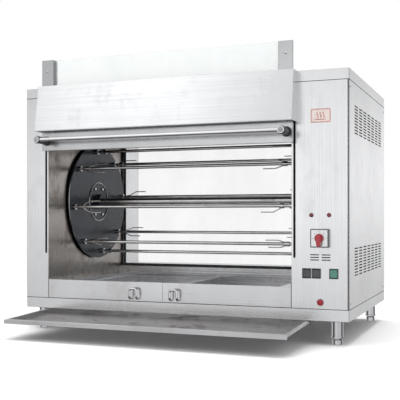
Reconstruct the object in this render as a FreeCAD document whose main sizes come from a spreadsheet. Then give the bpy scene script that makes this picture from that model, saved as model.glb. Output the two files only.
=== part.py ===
import FreeCAD, Part
import math
import os
import re

import Sketcher

# A floor-standing spit roaster: a steel box on four legs with a glass sash door behind a hood,
# a rotor of planetary spits, two drip pans, a serving tray under the base and a control cabinet.
# Millimetres. Places are measured from the casing's front lower left corner: across to the right,
# back into the depth and up. The part's own origin is on the floor below the middle of its box.

Vector = FreeCAD.Vector
Rotation = FreeCAD.Rotation
os.makedirs("parts", exist_ok=True)
doc = FreeCAD.newDocument("RotisserieOven")

# driving dimensions: name, value, what it measures
dimensions = [
    ("wide", 1210, "casing, left to right"),
    ("deep", 735, "casing, front to rear"),
    ("tall", 815, "casing, base underside to roof"),
    ("skin", 1.5, "sheet thickness"),
    ("band_tall", 38, "base band"),
    ("cap_tall", 36, "roof cap band"),
    ("pillar_wide", 93, "left pillar"),
    ("cabinet_wide", 189, "control cabinet, from the door opening's right edge"),
    ("corner_gap", 3, "shadow gap between control panel and side panel"),
    ("pan_top", 106, "top of the pan fronts, which is the opening's lower edge"),
    ("ceiling_drop", 34, "cooking space ceiling below the roof cap's lower edge"),
    ("lintel_cover", 7, "lower edge of the front lintel above the hood's"),
    ("rear_reveal", 127, "depth of the rear window's reveal"),
    ("window_in", 12, "rear window inset from each liner and from the ceiling"),
    ("window_rise", 33, "rear window's lower edge above the pan ledge"),
    ("pane", 4, "glass thickness"),
    ("seal_thick", 2, "rear glass seal"),
    ("seal_wide", 10, "rear glass seal beyond the window"),
    ("seal_in", 2, "rear glass seal inside the window"),
    ("pane_over", 6, "rear glass beyond the window"),
    ("ledge_up", 100, "pan ledge's top face"),
    ("ledge_wide", 63, "pan ledge, from liner to pan well"),
    ("ledge_rear", 8, "pan ledge, from rear liner to pan well"),
    ("leg_tall", 80, "floor to base underside"),
    ("leg_inset", 47, "leg centre from the casing's sides"),
    ("leg_radius", 19, "leg tube"),
    ("leg_wall", 2, "leg tube wall"),
    ("ring_tall", 5, "ring at the leg tube's lower end"),
    ("leg_tube_low", 22, "lower end of the leg tube above the floor"),
    ("foot_radius", 17, "levelling foot"),
    ("foot_tall", 18, "levelling foot's pad"),
    ("stem_radius", 8, "levelling foot's stem"),
    ("stem_long", 50, "levelling foot's stem"),
    ("hood_tall", 167, "hood, from its lower edge to the roof"),
    ("hood_out_low", 71, "hood's lower edge in front of the casing"),
    ("hood_out_top", 44, "hood's upper edge in front of the casing"),
    ("hood_over", 15.5, "hood beyond the opening on the left"),
    ("hood_over_right", 19, "hood beyond the opening on the right"),
    ("hood_lip", 11, "hood's lower return"),
    ("slot_in", 6, "pillar slot from the opening's edge"),
    ("slot_wide", 7, "pillar slot"),
    ("slot_top_gap", 8, "pillar slot's upper end below the roof cap"),
    ("lip", 1, "slot seal's wall"),
    ("sash_show", 68, "raised sashes' lower edge below the hood"),
    ("sash_tall", 332, "sash height"),
    ("sash_over", 10, "lower sash beyond the opening on each side"),
    ("upper_over", 6, "upper sash beyond the opening, clear of the lower sash's arms"),
    ("stile", 47, "sash stile width"),
    ("lower_rail", 66, "lower sash's bottom rail"),
    ("upper_rail", 30, "upper sash's bottom rail"),
    ("lower_front", -26, "lower sash's front face"),
    ("lower_thick", 12, "lower sash"),
    ("upper_front", -12, "upper sash's front face"),
    ("upper_thick", 8, "upper sash"),
    ("glass_grip", 8, "glass held inside a frame"),
    ("glass_room", 0.2, "clearance round a glass in its groove"),
    ("arm_thick", 4, "sash arm through the slot"),
    ("lower_arm", 97, "lower sash's arm above its lower edge"),
    ("upper_arm", 152, "upper sash's arm above its lower edge"),
    ("lower_arm_tall", 40, "lower sash's arm"),
    ("upper_arm_tall", 30, "upper sash's arm"),
    ("block_wide", 15, "sash guide block"),
    ("block_front", 8, "sash guide block's front face"),
    ("block_deep", 16, "sash guide block"),
    ("rod_radius", 5, "door guide rod"),
    ("rod_low", 20, "door guide rod's lower end below the slot"),
    ("stop_half", 8, "end block of the door guide, from the rod's axis and below the slot"),
    ("stop_low", 32, "end block's underside below the slot"),
    ("run_room", 0.05, "radial running clearance"),
    ("cable_in", 21, "cable from the opening's edge"),
    ("cable_back", 32, "front run of the sash cable"),
    ("cable_radius", 1.5, "sash cable"),
    ("pulley_radius", 30, "cable centre on the pulley"),
    ("pulley_rim", 34, "pulley rim"),
    ("pulley_wide", 12, "pulley"),
    ("pulley_drop", 37, "pulley axis below the roof cap's lower edge"),
    ("pulley_pin", 5, "pulley pin radius"),
    ("weight_wide", 56, "counterweight, square in plan"),
    ("weight_tall", 180, "counterweight"),
    ("weight_rest", 45, "counterweight's lower end with the door open"),
    ("handle_rise", 35, "handle bar axis above the sash's lower edge"),
    ("handle_out", 88, "handle bar axis in front of the casing"),
    ("handle_radius", 6.75, "handle bar"),
    ("handle_in", 20, "handle mount's centre inside the sash's edge"),
    ("mount_radius", 13, "handle mount"),
    ("mount_end", 95, "handle mount's front end"),
    ("rotor_back", 360, "rotor axis behind the front"),
    ("rotor_up", 400, "rotor axis above the base underside"),
    ("disc_radius", 230, "rotor disc"),
    ("disc_thick", 3, "rotor disc"),
    ("disc_rim", 5, "rotor disc's turned rim"),
    ("left_room", 5, "left liner to the disc's rim"),
    ("right_room", 32, "right disc to the right liner"),
    ("shaft_radius", 14, "rotor shaft"),
    ("hub_radius", 30, "disc hub"),
    ("hub_long", 20, "disc hub"),
    ("gear_module", 4, "planet gears"),
    ("sun_teeth", 88, "fixed sun gear"),
    ("planet_teeth", 14, "spit pinion"),
    ("gear_thick", 12, "gear face width"),
    ("gear_room", 4, "right disc to the gears"),
    ("spit_radius", 6, "spit rod"),
    ("spit_angle", 6.8, "first spit's angle above the level line to the rear"),
    ("collar_radius", 10, "spit collar"),
    ("collar_long", 12, "spit collar"),
    ("fork_hub", 9, "fork hub radius"),
    ("fork_reach", 22, "fork prong's distance from the spit's axis"),
    ("fork_in", 34, "fork hub from the disc"),
    ("prong_radius", 2, "fork prong"),
    ("bearing_radius", 32, "shaft bearing flange"),
    ("bearing_long", 12, "shaft bearing"),
    ("shaft_room", 0.6, "shaft's hole in each liner"),
    ("shaft_out", 104, "shaft beyond the right liner"),
    ("sun_boss", 62, "sun gear's mounting boss"),
    ("sun_hole", 34, "sun gear's lightening holes"),
    ("sun_hole_out", 112, "lightening holes from the sun gear's axis"),
    ("box_gap", 4, "right bearing to the gearbox"),
    ("box_wide", 80, "gearbox along the shaft"),
    ("box_half", 50, "gearbox, half its square side"),
    ("box_foot", 12, "gearbox feet"),
    ("motor_radius", 44, "motor"),
    ("motor_long", 160, "motor"),
    ("motor_cap", 47, "motor's end cover"),
    ("motor_cap_long", 22, "motor's end cover"),
    ("heater_drop", 30, "heating rods below the ceiling"),
    ("heater_radius", 4.25, "heating rod"),
    ("heater_pitch", 60, "between a hairpin's two runs"),
    ("heater_step", 150, "between hairpins"),
    ("heater_front", 180, "first hairpin in front of the rotor axis"),
    ("heater_short", 40, "hairpin's bend from the left liner"),
    ("heater_plug", 9, "hairpin end's radius"),
    ("heater_plug_long", 12, "hairpin end"),
    ("pan_gap", 1, "round the pan fronts"),
    ("pan_room", 4, "pan tub to the well's sides"),
    ("tub_top", 86, "pan tub's rim"),
    ("tub_lift", 0.5, "pan tub above the base deck"),
    ("left_grip_in", 107, "left pan handle's centre from the door's middle"),
    ("right_grip_in", 48, "right pan handle's centre from the door's middle"),
    ("grip_wide", 27, "pan handle, leg to leg"),
    ("grip_radius", 4, "pan handle rod"),
    ("grip_low", 49, "pan handle's lower end"),
    ("grip_high", 84, "pan handle's crown"),
    ("grip_out", 18, "pan handle in front of the pan"),
    ("tray_left", 89, "serving tray's left edge"),
    ("tray_right", 130, "serving tray's right edge from the casing's right side"),
    ("tray_out", 272, "serving tray in front of the casing, along its slope"),
    ("tray_deep", 500, "serving tray along its slope"),
    ("tray_tall", 13.5, "serving tray"),
    ("tray_rim", 10, "serving tray's rim"),
    ("tray_drop", 2, "tray rim below the base at the front"),
    ("tray_slope", 2, "tray's slope down to the front, degrees"),
    ("runner_room", 1, "tray edge to the runner's web"),
    ("runner_web", 2.5, "tray runner's web"),
    ("runner_room_high", 0.4, "tray rim to the runner above it"),
    ("runner_low", 2.5, "tray runner below the tray"),
    ("runner_back", 0.5, "tray runner's front end behind the base band's front sheet"),
    ("switch_across", 95.5, "rotary switch from the opening's right edge"),
    ("switch_up", 268, "rotary switch axis"),
    ("plate_size", 60, "rotary switch plate"),
    ("plate_proud", 12.5, "rotary switch body in front of the panel"),
    ("plate_in", 3, "switch face inset from its body"),
    ("knob_radius", 14.5, "switch knob's disc"),
    ("knob_thick", 6, "switch knob's disc"),
    ("knob_grip", 27, "knob grip's tip below the switch axis"),
    ("knob_proud", 16, "switch knob"),
    ("knob_in", 12, "switch knob's stem behind the panel's face"),
    ("knob_room", 0.5, "switch knob in front of its plate"),
    ("knob_stem", 4, "switch knob's stem"),
    ("lamp_apart", 58, "between the pilot lamps"),
    ("lamp_up", 343, "pilot lamps"),
    ("lamp_radius", 6.25, "pilot lamp"),
    ("lamp_proud", 6, "pilot lamp"),
    ("lamp_stem", 5, "pilot lamp's body behind the panel"),
    ("lamp_long", 18, "pilot lamp's body behind the panel"),
    ("louvre_wide", 28, "control panel louvre"),
    ("louvre_tall", 2.8, "control panel louvre"),
    ("louvre_apart", 38, "between the two louvre columns"),
    ("louvre_drop", 71, "lowest louvre below the switch axis"),
    ("louvre_pitch", 8.5, "between louvres"),
    ("rocker_up", 153.5, "rocker row's centre"),
    ("rocker_reach", 44.5, "outer rockers from the switch axis"),
    ("rocker_pair", 32, "between the two rockers on the left"),
    ("rocker_deep", 3, "rocker pivot behind the panel's face"),
    ("rocker_thick", 13, "rocker cap"),
    ("rocker_face", 7.5, "rocker cap's face from its pivot"),
    ("rocker_room", 0.3, "rocker cap in its bezel"),
    ("bezel_wide", 29, "rocker bezel"),
    ("bezel_tall", 33, "rocker bezel"),
    ("bezel_proud", 4, "rocker bezel"),
    ("bezel_deep", 20, "rocker bezel behind the panel's face"),
    ("bezel_lip", 1.5, "rocker bezel's flange beyond its sleeve"),
    ("rocker_wide", 22, "rocker cap"),
    ("rocker_radius", 13.9, "rocker cap's end radius about its pivot"),
    ("rocker_tilt", 8, "rocker cap's rest tilt, degrees"),
    ("button_up", 60, "round button"),
    ("button_radius", 10, "round button"),
    ("button_proud", 9, "round button"),
    ("button_stem", 8, "round button's stem"),
    ("button_long", 22, "round button's stem behind the panel's face"),
    ("button_room", 0.3, "round button in its hole"),
    ("button_skirt", 8, "round button's skirt behind the panel's face"),
    ("badge_up", 665.5, "badge plate's centre"),
    ("badge_across", 97, "badge plate's centre from the opening's right edge"),
    ("badge_wide", 66, "badge plate"),
    ("badge_tall", 46, "badge plate"),
    ("badge_thick", 1.5, "badge plate"),
    ("vent_long", 72, "side vent slot"),
    ("vent_tall", 4, "side vent slot"),
    ("vent_pitch_back", 82.3, "between vent columns"),
    ("vent_pitch_up", 9.9, "between vent rows"),
    ("vent_start", 90, "first vent column behind the front"),
    ("vent_low", 141, "lower bank of vents"),
    ("vent_drop", 166, "upper bank of vents below the roof cap's lower edge"),
    ("gland_across", 95, "cable gland from the opening's right edge"),
    ("gland_up", 110, "cable gland"),
    ("gland_out", 18, "cable gland behind the casing"),
    ("gland_bore", 7, "cable gland's bore radius"),
    ("gland_thread", 10, "cable gland's thread"),
    ("gland_in", 16, "cable gland inside the casing"),
    ("gland_collar", 11, "cable gland's outer sleeve"),
    ("gland_nut", 15, "cable gland's nut, centre to corner"),
    ("gland_nut_long", 8, "cable gland's nut"),
    ("hole_room", 0.2, "clearance of a hole round a fixed fitting"),
    ("screw_radius", 4, "panel screw head"),
    ("screw_proud", 2, "panel screw head"),
    ("screw_in", 20, "panel screw from a panel's edges"),
]

sheet = doc.addObject("Spreadsheet::Sheet", "Sizes")
for row, (name, value, meaning) in enumerate(dimensions, 1):
    sheet.set(f"A{row}", meaning)
    sheet.set(f"B{row}", str(value))
    sheet.setAlias(f"B{row}", name)
doc.recompute()
aliases = {name for name, value, meaning in dimensions}
word = re.compile(r"[a-z_]+")

# places that several pieces share, worked out from the driving dimensions
places = {
    "right_edge": "wide - cabinet_wide",
    "roof_under": "tall - cap_tall",
    "rear_wall": "deep - rear_reveal",
    "deck_under": "band_tall - skin",
    "ceiling_up": "roof_under - ceiling_drop",
    "hood_low": "tall - hood_tall",
    "lintel_low": "hood_low + lintel_cover",
    "window_low": "ledge_up + window_rise",
    "window_high": "ceiling_up - window_in",
    "heater_up": "ceiling_up - heater_drop",
    "sash_rest": "hood_low - sash_show",
    "handle_up": "sash_rest + handle_rise",
    "pulley_up": "roof_under - pulley_drop",
    "slot_low": "pan_top + lower_arm",
    "slot_left": "pillar_wide - slot_in - slot_wide",
    "slot_middle": "slot_left + slot_wide / 2",
    "slot_top": "roof_under - slot_top_gap",
    "rod_back": "block_front + block_deep / 2",
    "cable_across": "pillar_wide - cable_in",
    "pulley_back": "cable_back + pulley_radius",
    "sash_left": "pillar_wide - sash_over",
    "door_middle": "(pillar_wide + right_edge) / 2",
    "well_left": "pillar_wide + ledge_wide",
    "well_right": "right_edge - ledge_wide",
    "well_rear": "rear_wall - ledge_rear",
    "left_disc": "pillar_wide + left_room + disc_rim",
    "right_disc": "right_edge - right_room - disc_thick",
    "gear_face": "right_disc + disc_thick + gear_room",
    "orbit": "gear_module * (sun_teeth + planet_teeth) / 2",
    "switch_axis": "right_edge + switch_across",
    "badge_middle": "right_edge + badge_across",
    "gearbox_left": "right_edge + skin + bearing_long + box_gap",
    "tray_edge": "wide - tray_right",
    "tray_reach": "tray_out * cos(tray_slope)",
}


def bound(text):
    """An expression with each shared place worked out and each driving dimension read from the sheet."""
    def read(match):
        name = match[0]
        if name in places:
            return f"({bound(places[name])})"
        return f"Sizes.{name}" if name in aliases else name

    return word.sub(read, str(text))


def number(text):
    """The value that an expression has now."""
    value = sheet.evalExpression(bound(text))
    return float(getattr(value, "Value", value))


# the casing's front lower left corner in the part's frame
corner = ("-wide / 2", "-(deep + gland_out - tray_reach) / 2", "leg_tall")

rocker_places = ("(switch_axis - rocker_reach)", "(switch_axis - rocker_reach + rocker_pair)",
                 "(switch_axis + rocker_reach)")
nodes = {}


def node(label, item):
    item.Label = label
    nodes[label] = item
    return item


def locate(item, across, back, up):
    for axis, text, origin in zip("xyz", (across, back, up), corner):
        item.setExpression(f"Placement.Base.{axis}", bound(f"{origin} + ({text})"))


def block(name, across, back, up):
    item = doc.addObject("Part::Box", name)
    for side, span in zip(("Length", "Width", "Height"), (across, back, up)):
        item.setExpression(side, bound(f"({span[1]}) - ({span[0]})"))
    locate(item, across[0], back[0], up[0])
    return item


turns = {
    "x": Rotation(Vector(0, 1, 0), 90),
    "y": Rotation(Vector(1, 0, 0), -90),
    "z": Rotation(),
}


def rod(name, axis, radius, start, end, *centre):
    """A cylinder along an axis from start to end, centred on the other two places."""
    item = doc.addObject("Part::Cylinder", name)
    item.setExpression("Radius", bound(radius))
    item.setExpression("Height", bound(f"({end}) - ({start})"))
    item.Placement = FreeCAD.Placement(Vector(), turns[axis])
    place = list(centre)
    place.insert("xyz".index(axis), start)
    locate(item, *place)
    return item


def joined(name, *pieces):
    item = doc.addObject("Part::MultiFuse", name)
    item.Shapes = list(pieces)
    return item


def together(name, *pieces):
    item = doc.addObject("Part::Compound", name)
    item.Links = list(pieces)
    return item


def without(name, base, *tools):
    item = doc.addObject("Part::Cut", name)
    item.Base = base
    item.Tool = tools[0] if len(tools) == 1 else joined(f"{name}_tools", *tools)
    return item


def shared(name, first, second):
    item = doc.addObject("Part::Common", name)
    item.Base = first
    item.Tool = second
    return item


def body_at(name, across="0", back="0", up="0"):
    item = doc.addObject("PartDesign::Body", name)
    locate(item, across, back, up)
    return item


def rectangle(low, high):
    return [(low[0], low[1]), (high[0], low[1]), (high[0], high[1]), (low[0], high[1])]


def circle(across, up, radius):
    return ("circle", across, up, radius)


def pin(sketch, geometry, point, place):
    """Holds one point of a sketch at a place bound to the sheet."""
    for kind, text in zip(("DistanceX", "DistanceY"), place):
        index = sketch.addConstraint(Sketcher.Constraint(kind, -1, 1, geometry, point, number(text)))
        sketch.setExpression(f"Constraints[{index}]", bound(text))


def sketch_in(body, role, loops, offset="0"):
    """A sketch on one of the body's own planes, of closed outlines and circles."""
    sketch = body.newObject("Sketcher::SketchObject", f"{body.Name}_outline")
    plane = next(item for item in body.Origin.OriginFeatures if item.Role == role)
    sketch.AttachmentSupport = [(plane, "")]
    sketch.MapMode = "FlatFace"
    sketch.setExpression("AttachmentOffset.Base.z", bound(offset))
    for loop in loops:
        first = sketch.GeometryCount
        if loop[0] == "circle":
            centre = Vector(number(loop[1]), number(loop[2]), 0)
            sketch.addGeometry(Part.Circle(centre, Vector(0, 0, 1), number(loop[3])), False)
            pin(sketch, first, 3, loop[1:3])
            index = sketch.addConstraint(Sketcher.Constraint("Radius", first, number(loop[3])))
            sketch.setExpression(f"Constraints[{index}]", bound(loop[3]))
            continue
        corners = [Vector(number(x), number(y), 0) for x, y in loop]
        count = len(loop)
        for index in range(count):
            edge = Part.LineSegment(corners[index], corners[(index + 1) % count])
            sketch.addGeometry(edge, False)
        for index in range(count):
            following = first + (index + 1) % count
            sketch.addConstraint(Sketcher.Constraint("Coincident", first + index, 2, following, 1))
        for index, place in enumerate(loop):
            pin(sketch, first + index, 1, place)
    return sketch


def pad(body, role, loops, length, offset="0", backwards=False):
    feature = body.newObject("PartDesign::Pad", f"{body.Name}_pad")
    feature.Profile = sketch_in(body, role, loops, offset)
    feature.setExpression("Length", bound(length))
    feature.Reversed = backwards
    return feature


def pocket(body, role, loops, offset="0", length=None, backwards=False):
    """A pocket that goes right through, or to a depth."""
    feature = body.newObject("PartDesign::Pocket", f"{body.Name}_pocket")
    feature.Profile = sketch_in(body, role, loops, offset)
    if length is None:
        feature.Type = "ThroughAll"
        feature.Midplane = True
    else:
        feature.setExpression("Length", bound(length))
        feature.Reversed = backwards
    return feature


def turned(body, role, outline, axis="V_Axis"):
    """A solid of revolution about one of its sketch's axes."""
    feature = body.newObject("PartDesign::Revolution", f"{body.Name}_turned")
    feature.Profile = sketch_in(body, role, [outline])
    feature.ReferenceAxis = (feature.Profile[0], [axis])
    feature.Angle = 360
    return feature


def bent_rod(name, points, radius, bend):
    """A round rod along straight runs joined by arcs, in the part's frame."""
    origin = Vector(*(number(text) for text in corner))
    spots = [origin + Vector(*(number(text) for text in point)) for point in points]
    edges = []
    last = spots[0]
    for index in range(1, len(spots) - 1):
        spot = spots[index]
        back = (spots[index - 1] - spot).normalize()
        ahead = (spots[index + 1] - spot).normalize()
        half = back.getAngle(ahead) / 2
        cut = bend / math.tan(half)
        middle = spot + (back + ahead).normalize() * (bend / math.sin(half) - bend)
        start = spot + back * cut
        end = spot + ahead * cut
        if start.distanceToPoint(last) > 1e-6:
            edges.append(Part.makeLine(last, start))
        edges.append(Part.Arc(start, middle, end).toShape())
        last = end
    edges.append(Part.makeLine(last, spots[-1]))
    path = Part.Wire(edges)
    heading = spots[1] - spots[0]
    ring = Part.Wire(Part.makeCircle(radius, spots[0], heading))
    item = doc.addObject("Part::Feature", name)
    item.Shape = path.makePipeShell([ring], True, False)
    return item


def slot_tool(name, grow, front, rear):
    """The left pillar's round-ended slot as a solid, grown all round."""
    radius = f"(slot_wide / 2 + ({grow}))"
    low = "(slot_low + slot_wide / 2)"
    sides = (f"slot_middle - {radius}", f"slot_middle + {radius}")
    shaft = block(f"{name}_run", sides, (front, rear), (low, f"slot_top + ({grow})"))
    end = rod(f"{name}_end", "y", radius, front, rear, "slot_middle", low)
    return joined(name, shaft, end)


def right_copy(name, source):
    """The same piece mirrored about the door's middle."""
    item = doc.addObject("Part::Mirroring", name)
    item.Source = source
    item.Normal = Vector(1, 0, 0)
    item.setExpression("Base.x", bound(f"{corner[0]} + door_middle"))
    return item


def make_stand():
    shell = block("base_outer", ("0", "wide"), ("0", "deep"), ("0", "band_tall"))
    hollow = block("base_hollow", ("skin", "wide - skin"), ("skin", "deep - skin"), ("-1", "deck_under"))
    back = ("skin", "deep - skin")
    web = "(runner_room + runner_web)"
    up = ("0", "deck_under")
    left = block("beam_left", (f"tray_left - {web} - skin", f"tray_left - {web}"), back, up)
    right = block("beam_right", (f"tray_edge + {web}", f"tray_edge + {web} + skin"), back, up)
    node("base_frame", joined("base", without("base_shell", shell, hollow), left, right))

    tubes = []
    feet = []
    spots = [(x, y) for x in ("leg_inset", "wide - leg_inset") for y in ("leg_inset", "deep - leg_inset")]
    for count, (across, back) in enumerate(spots, 1):
        low = "leg_tube_low - leg_tall"
        outer = rod(f"leg{count}", "z", "leg_radius", low, "deck_under", across, back)
        ring = rod(f"leg{count}_ring", "z", "leg_radius + leg_wall", low, f"{low} + ring_tall", across, back)
        bore = rod(f"leg{count}_bore", "z", "leg_radius - leg_wall", f"{low} - 1", "deck_under - leg_wall",
                   across, back)
        tubes.append(without(f"leg{count}_tube", joined(f"leg{count}_solid", outer, ring), bore))
        foot = body_at(f"foot{count}", across, back, "-leg_tall")
        neck = "foot_radius - 4"
        outline = [("0", "0"), ("foot_radius - 1", "0"), ("foot_radius", "1"),
                   ("foot_radius", "foot_tall - 3"), (neck, "foot_tall"), ("stem_radius", "foot_tall"),
                   ("stem_radius", "foot_tall + stem_long"), ("0", "foot_tall + stem_long")]
        turned(foot, "XZ_Plane", outline)
        feet.append(foot)
    node("leg_tubes", together("legs", *tubes))
    node("levelling_feet", together("feet", *feet))


def make_casing():
    wall = body_at("left_skin", up="band_tall")
    height = "roof_under - band_tall"
    plan = [("0", "0"), ("pillar_wide", "0"), ("pillar_wide", "skin"), ("skin", "skin"),
            ("skin", "deep - skin"), ("0", "deep - skin")]
    pad(wall, "XY_Plane", [plan], height)
    slot = slot_tool("left_slot", "0", "-1", "skin + 1")
    node("left_casing", without("left_pillar", wall, slot))

    edge = "(wide - skin - corner_gap)"
    face = body_at("control_face")
    front = rectangle(("right_edge", "band_tall"), (edge, "roof_under"))
    pad(face, "XZ_Plane", [front], "skin", backwards=True)
    fold = rectangle((f"{edge} - skin", "band_tall"), (edge, "roof_under"))
    pad(face, "XZ_Plane", [fold], "20", backwards=True)
    holes = [circle("switch_axis", "switch_up", "knob_stem + 2"),
             circle("switch_axis", "button_up", "button_radius + button_room")]
    for side in (-1, 1):
        holes.append(circle(f"switch_axis + {side} * lamp_apart / 2", "lamp_up", "lamp_stem + hole_room"))
    for middle in rocker_places:
        across = "(bezel_wide / 2 - bezel_lip + hole_room)"
        up = "(bezel_tall / 2 - bezel_lip + hole_room)"
        holes.append(rectangle((f"{middle} - {across}", f"rocker_up - {up}"),
                               (f"{middle} + {across}", f"rocker_up + {up}")))
    for side in (-1, 1):
        for step in range(3):
            left = f"(switch_axis + {side} * louvre_apart / 2 - louvre_wide / 2)"
            low = f"(switch_up - louvre_drop - louvre_tall / 2 + {step} * louvre_pitch)"
            holes.append(rectangle((left, low), (f"{left} + louvre_wide", f"{low} + louvre_tall")))
    pocket(face, "XZ_Plane", holes)
    node("control_panel", without("control_sheet", face, right_copy("right_slot", slot)))

    outer = slot_tool("seal_outer", "0", "-0.8", "skin + 1.5")
    inner = slot_tool("seal_inner", "-lip", "-2", "skin + 2")
    seal = without("left_seal", outer, inner)
    node("door_seals", together("slot_seals", seal, right_copy("right_seal", seal)))

    side = body_at("right_skin", across="wide - skin")
    outline = rectangle(("skin", "band_tall"), ("deep - skin", "roof_under"))
    pad(side, "YZ_Plane", [outline], "skin")
    slots = []
    for start in ("vent_low", "(roof_under - vent_drop)"):
        for step in range(10):
            low = f"({start} + {step} * vent_pitch_up)"
            slots.append(rectangle(("vent_start", low), ("vent_start + vent_long", f"{low} + vent_tall")))
    cut = pocket(side, "YZ_Plane", slots)
    doc.recompute()
    pattern = side.newObject("PartDesign::LinearPattern", "vent_columns")
    pattern.Originals = [cut]
    pattern.Direction = (cut.Profile[0], ["H_Axis"])
    pattern.setExpression("Length", bound("6 * vent_pitch_back"))
    pattern.Occurrences = 7
    side.Tip = pattern
    node("right_side_panel", side)

    cap = block("cap_outer", ("0", "wide"), ("0", "deep"), ("roof_under", "tall"))
    inside = block("cap_hollow", ("skin", "wide - skin"), ("skin", "deep - skin"),
                   ("roof_under - 1", "tall - skin"))
    node("roof_panel", without("cap", cap, inside))


def make_rear():
    window = ("pillar_wide + window_in", "right_edge - window_in")
    low = "window_low"
    high = "window_high"
    plate = block("rear_plate", ("0", "wide"), ("deep - skin", "deep"), ("band_tall", "roof_under"))
    inner = block("rear_inner", ("pillar_wide", "right_edge"), ("rear_wall", "rear_wall + skin"),
                  ("band_tall", "ceiling_up"))
    tunnel = block("reveal", (f"{window[0]} - skin", f"{window[1]} + skin"), ("rear_wall", "deep"),
                   (f"{low} - skin", f"{high} + skin"))
    hole = block("rear_hole", window, ("rear_wall - 1", "deep + 1"), (low, high))
    gland = rod("gland_hole", "y", "gland_thread + hole_room", "deep - skin - 1", "deep + 1",
                "right_edge + gland_across", "gland_up")
    node("rear_frame", without("rear", joined("rear_solid", plate, inner, tunnel), hole, gland))

    front = "rear_wall - seal_thick"
    margin = "seal_wide"
    ring = block("seal_ring", (f"{window[0]} - {margin}", f"{window[1]} + {margin}"), (front, "rear_wall"),
                 (f"{low} - {margin}", f"{high} + {margin}"))
    gap = block("seal_gap", (f"{window[0]} + seal_in", f"{window[1]} - seal_in"),
                (f"{front} - 1", "rear_wall + 1"), (f"{low} + seal_in", f"{high} - seal_in"))
    node("rear_glass_seal", without("rear_seal", ring, gap))
    pane = block("rear_pane", (f"{window[0]} - pane_over", f"{window[1]} + pane_over"),
                 (f"{front} - pane", front), (f"{low} - pane_over", f"{high} + pane_over"))
    node("rear_glass", pane)


def make_liners():
    hole = "shaft_radius + shaft_room"
    for label, span in (("left_liner", ("pillar_wide - skin", "pillar_wide")),
                        ("right_liner", ("right_edge", "right_edge + skin"))):
        plate = block(f"{label}_plate", span, ("skin", "rear_wall"), ("band_tall", "roof_under"))
        bore = rod(f"{label}_bore", "x", hole, f"{span[0]} - 1", f"{span[1]} + 1", "rotor_back", "rotor_up")
        node(label, without(f"{label}_sheet", plate, bore))
    top = body_at("ceiling", across="pillar_wide")
    profile = [("0", "lintel_low"), ("skin", "lintel_low"), ("skin", "ceiling_up"),
               ("rear_wall", "ceiling_up"),
               ("rear_wall", "ceiling_up + skin"), ("skin", "ceiling_up + skin"), ("skin", "roof_under"),
               ("0", "roof_under")]
    pad(top, "YZ_Plane", [profile], "right_edge - pillar_wide")
    node("ceiling_liner", top)

    plate = block("ledge_plate", ("pillar_wide", "right_edge"), ("2 * skin", "rear_wall"),
                  ("ledge_up - skin", "ledge_up"))
    well = block("ledge_well", ("well_left", "well_right"), ("0", "well_rear"), ("0", "ledge_up + 1"))
    left = block("well_left", ("well_left - skin", "well_left"), ("2 * skin", "rear_wall"),
                 ("band_tall", "ledge_up"))
    right = block("well_right", ("well_right", "well_right + skin"), ("2 * skin", "rear_wall"),
                  ("band_tall", "ledge_up"))
    rear = block("well_rear", ("well_left", "well_right"), ("well_rear", "well_rear + skin"),
                 ("band_tall", "ledge_up"))
    node("pan_ledge", joined("ledge", without("ledge_frame", plate, well), left, right, rear))


def make_hood():
    left = "pillar_wide - hood_over"
    long = f"(right_edge + hood_over_right - ({left}))"
    hood = body_at("hood_sheet", across=left)
    low = "hood_low"
    face = [("-hood_out_low", low), ("-hood_out_top", "tall"), ("-hood_out_top + skin", "tall"),
            ("-hood_out_low + 1.2 * skin", f"{low} + skin"), ("-hood_out_low + hood_lip", f"{low} + skin"),
            ("-hood_out_low + hood_lip", low)]
    gusset = [("-hood_out_low", low), ("-hood_out_top", "tall"), ("0", "tall"), ("0", low)]
    pad(hood, "YZ_Plane", [face], long)
    pad(hood, "YZ_Plane", [gusset], "skin")
    pad(hood, "YZ_Plane", [gusset], "skin", offset=f"{long} - skin")
    node("hood", hood)


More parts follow.
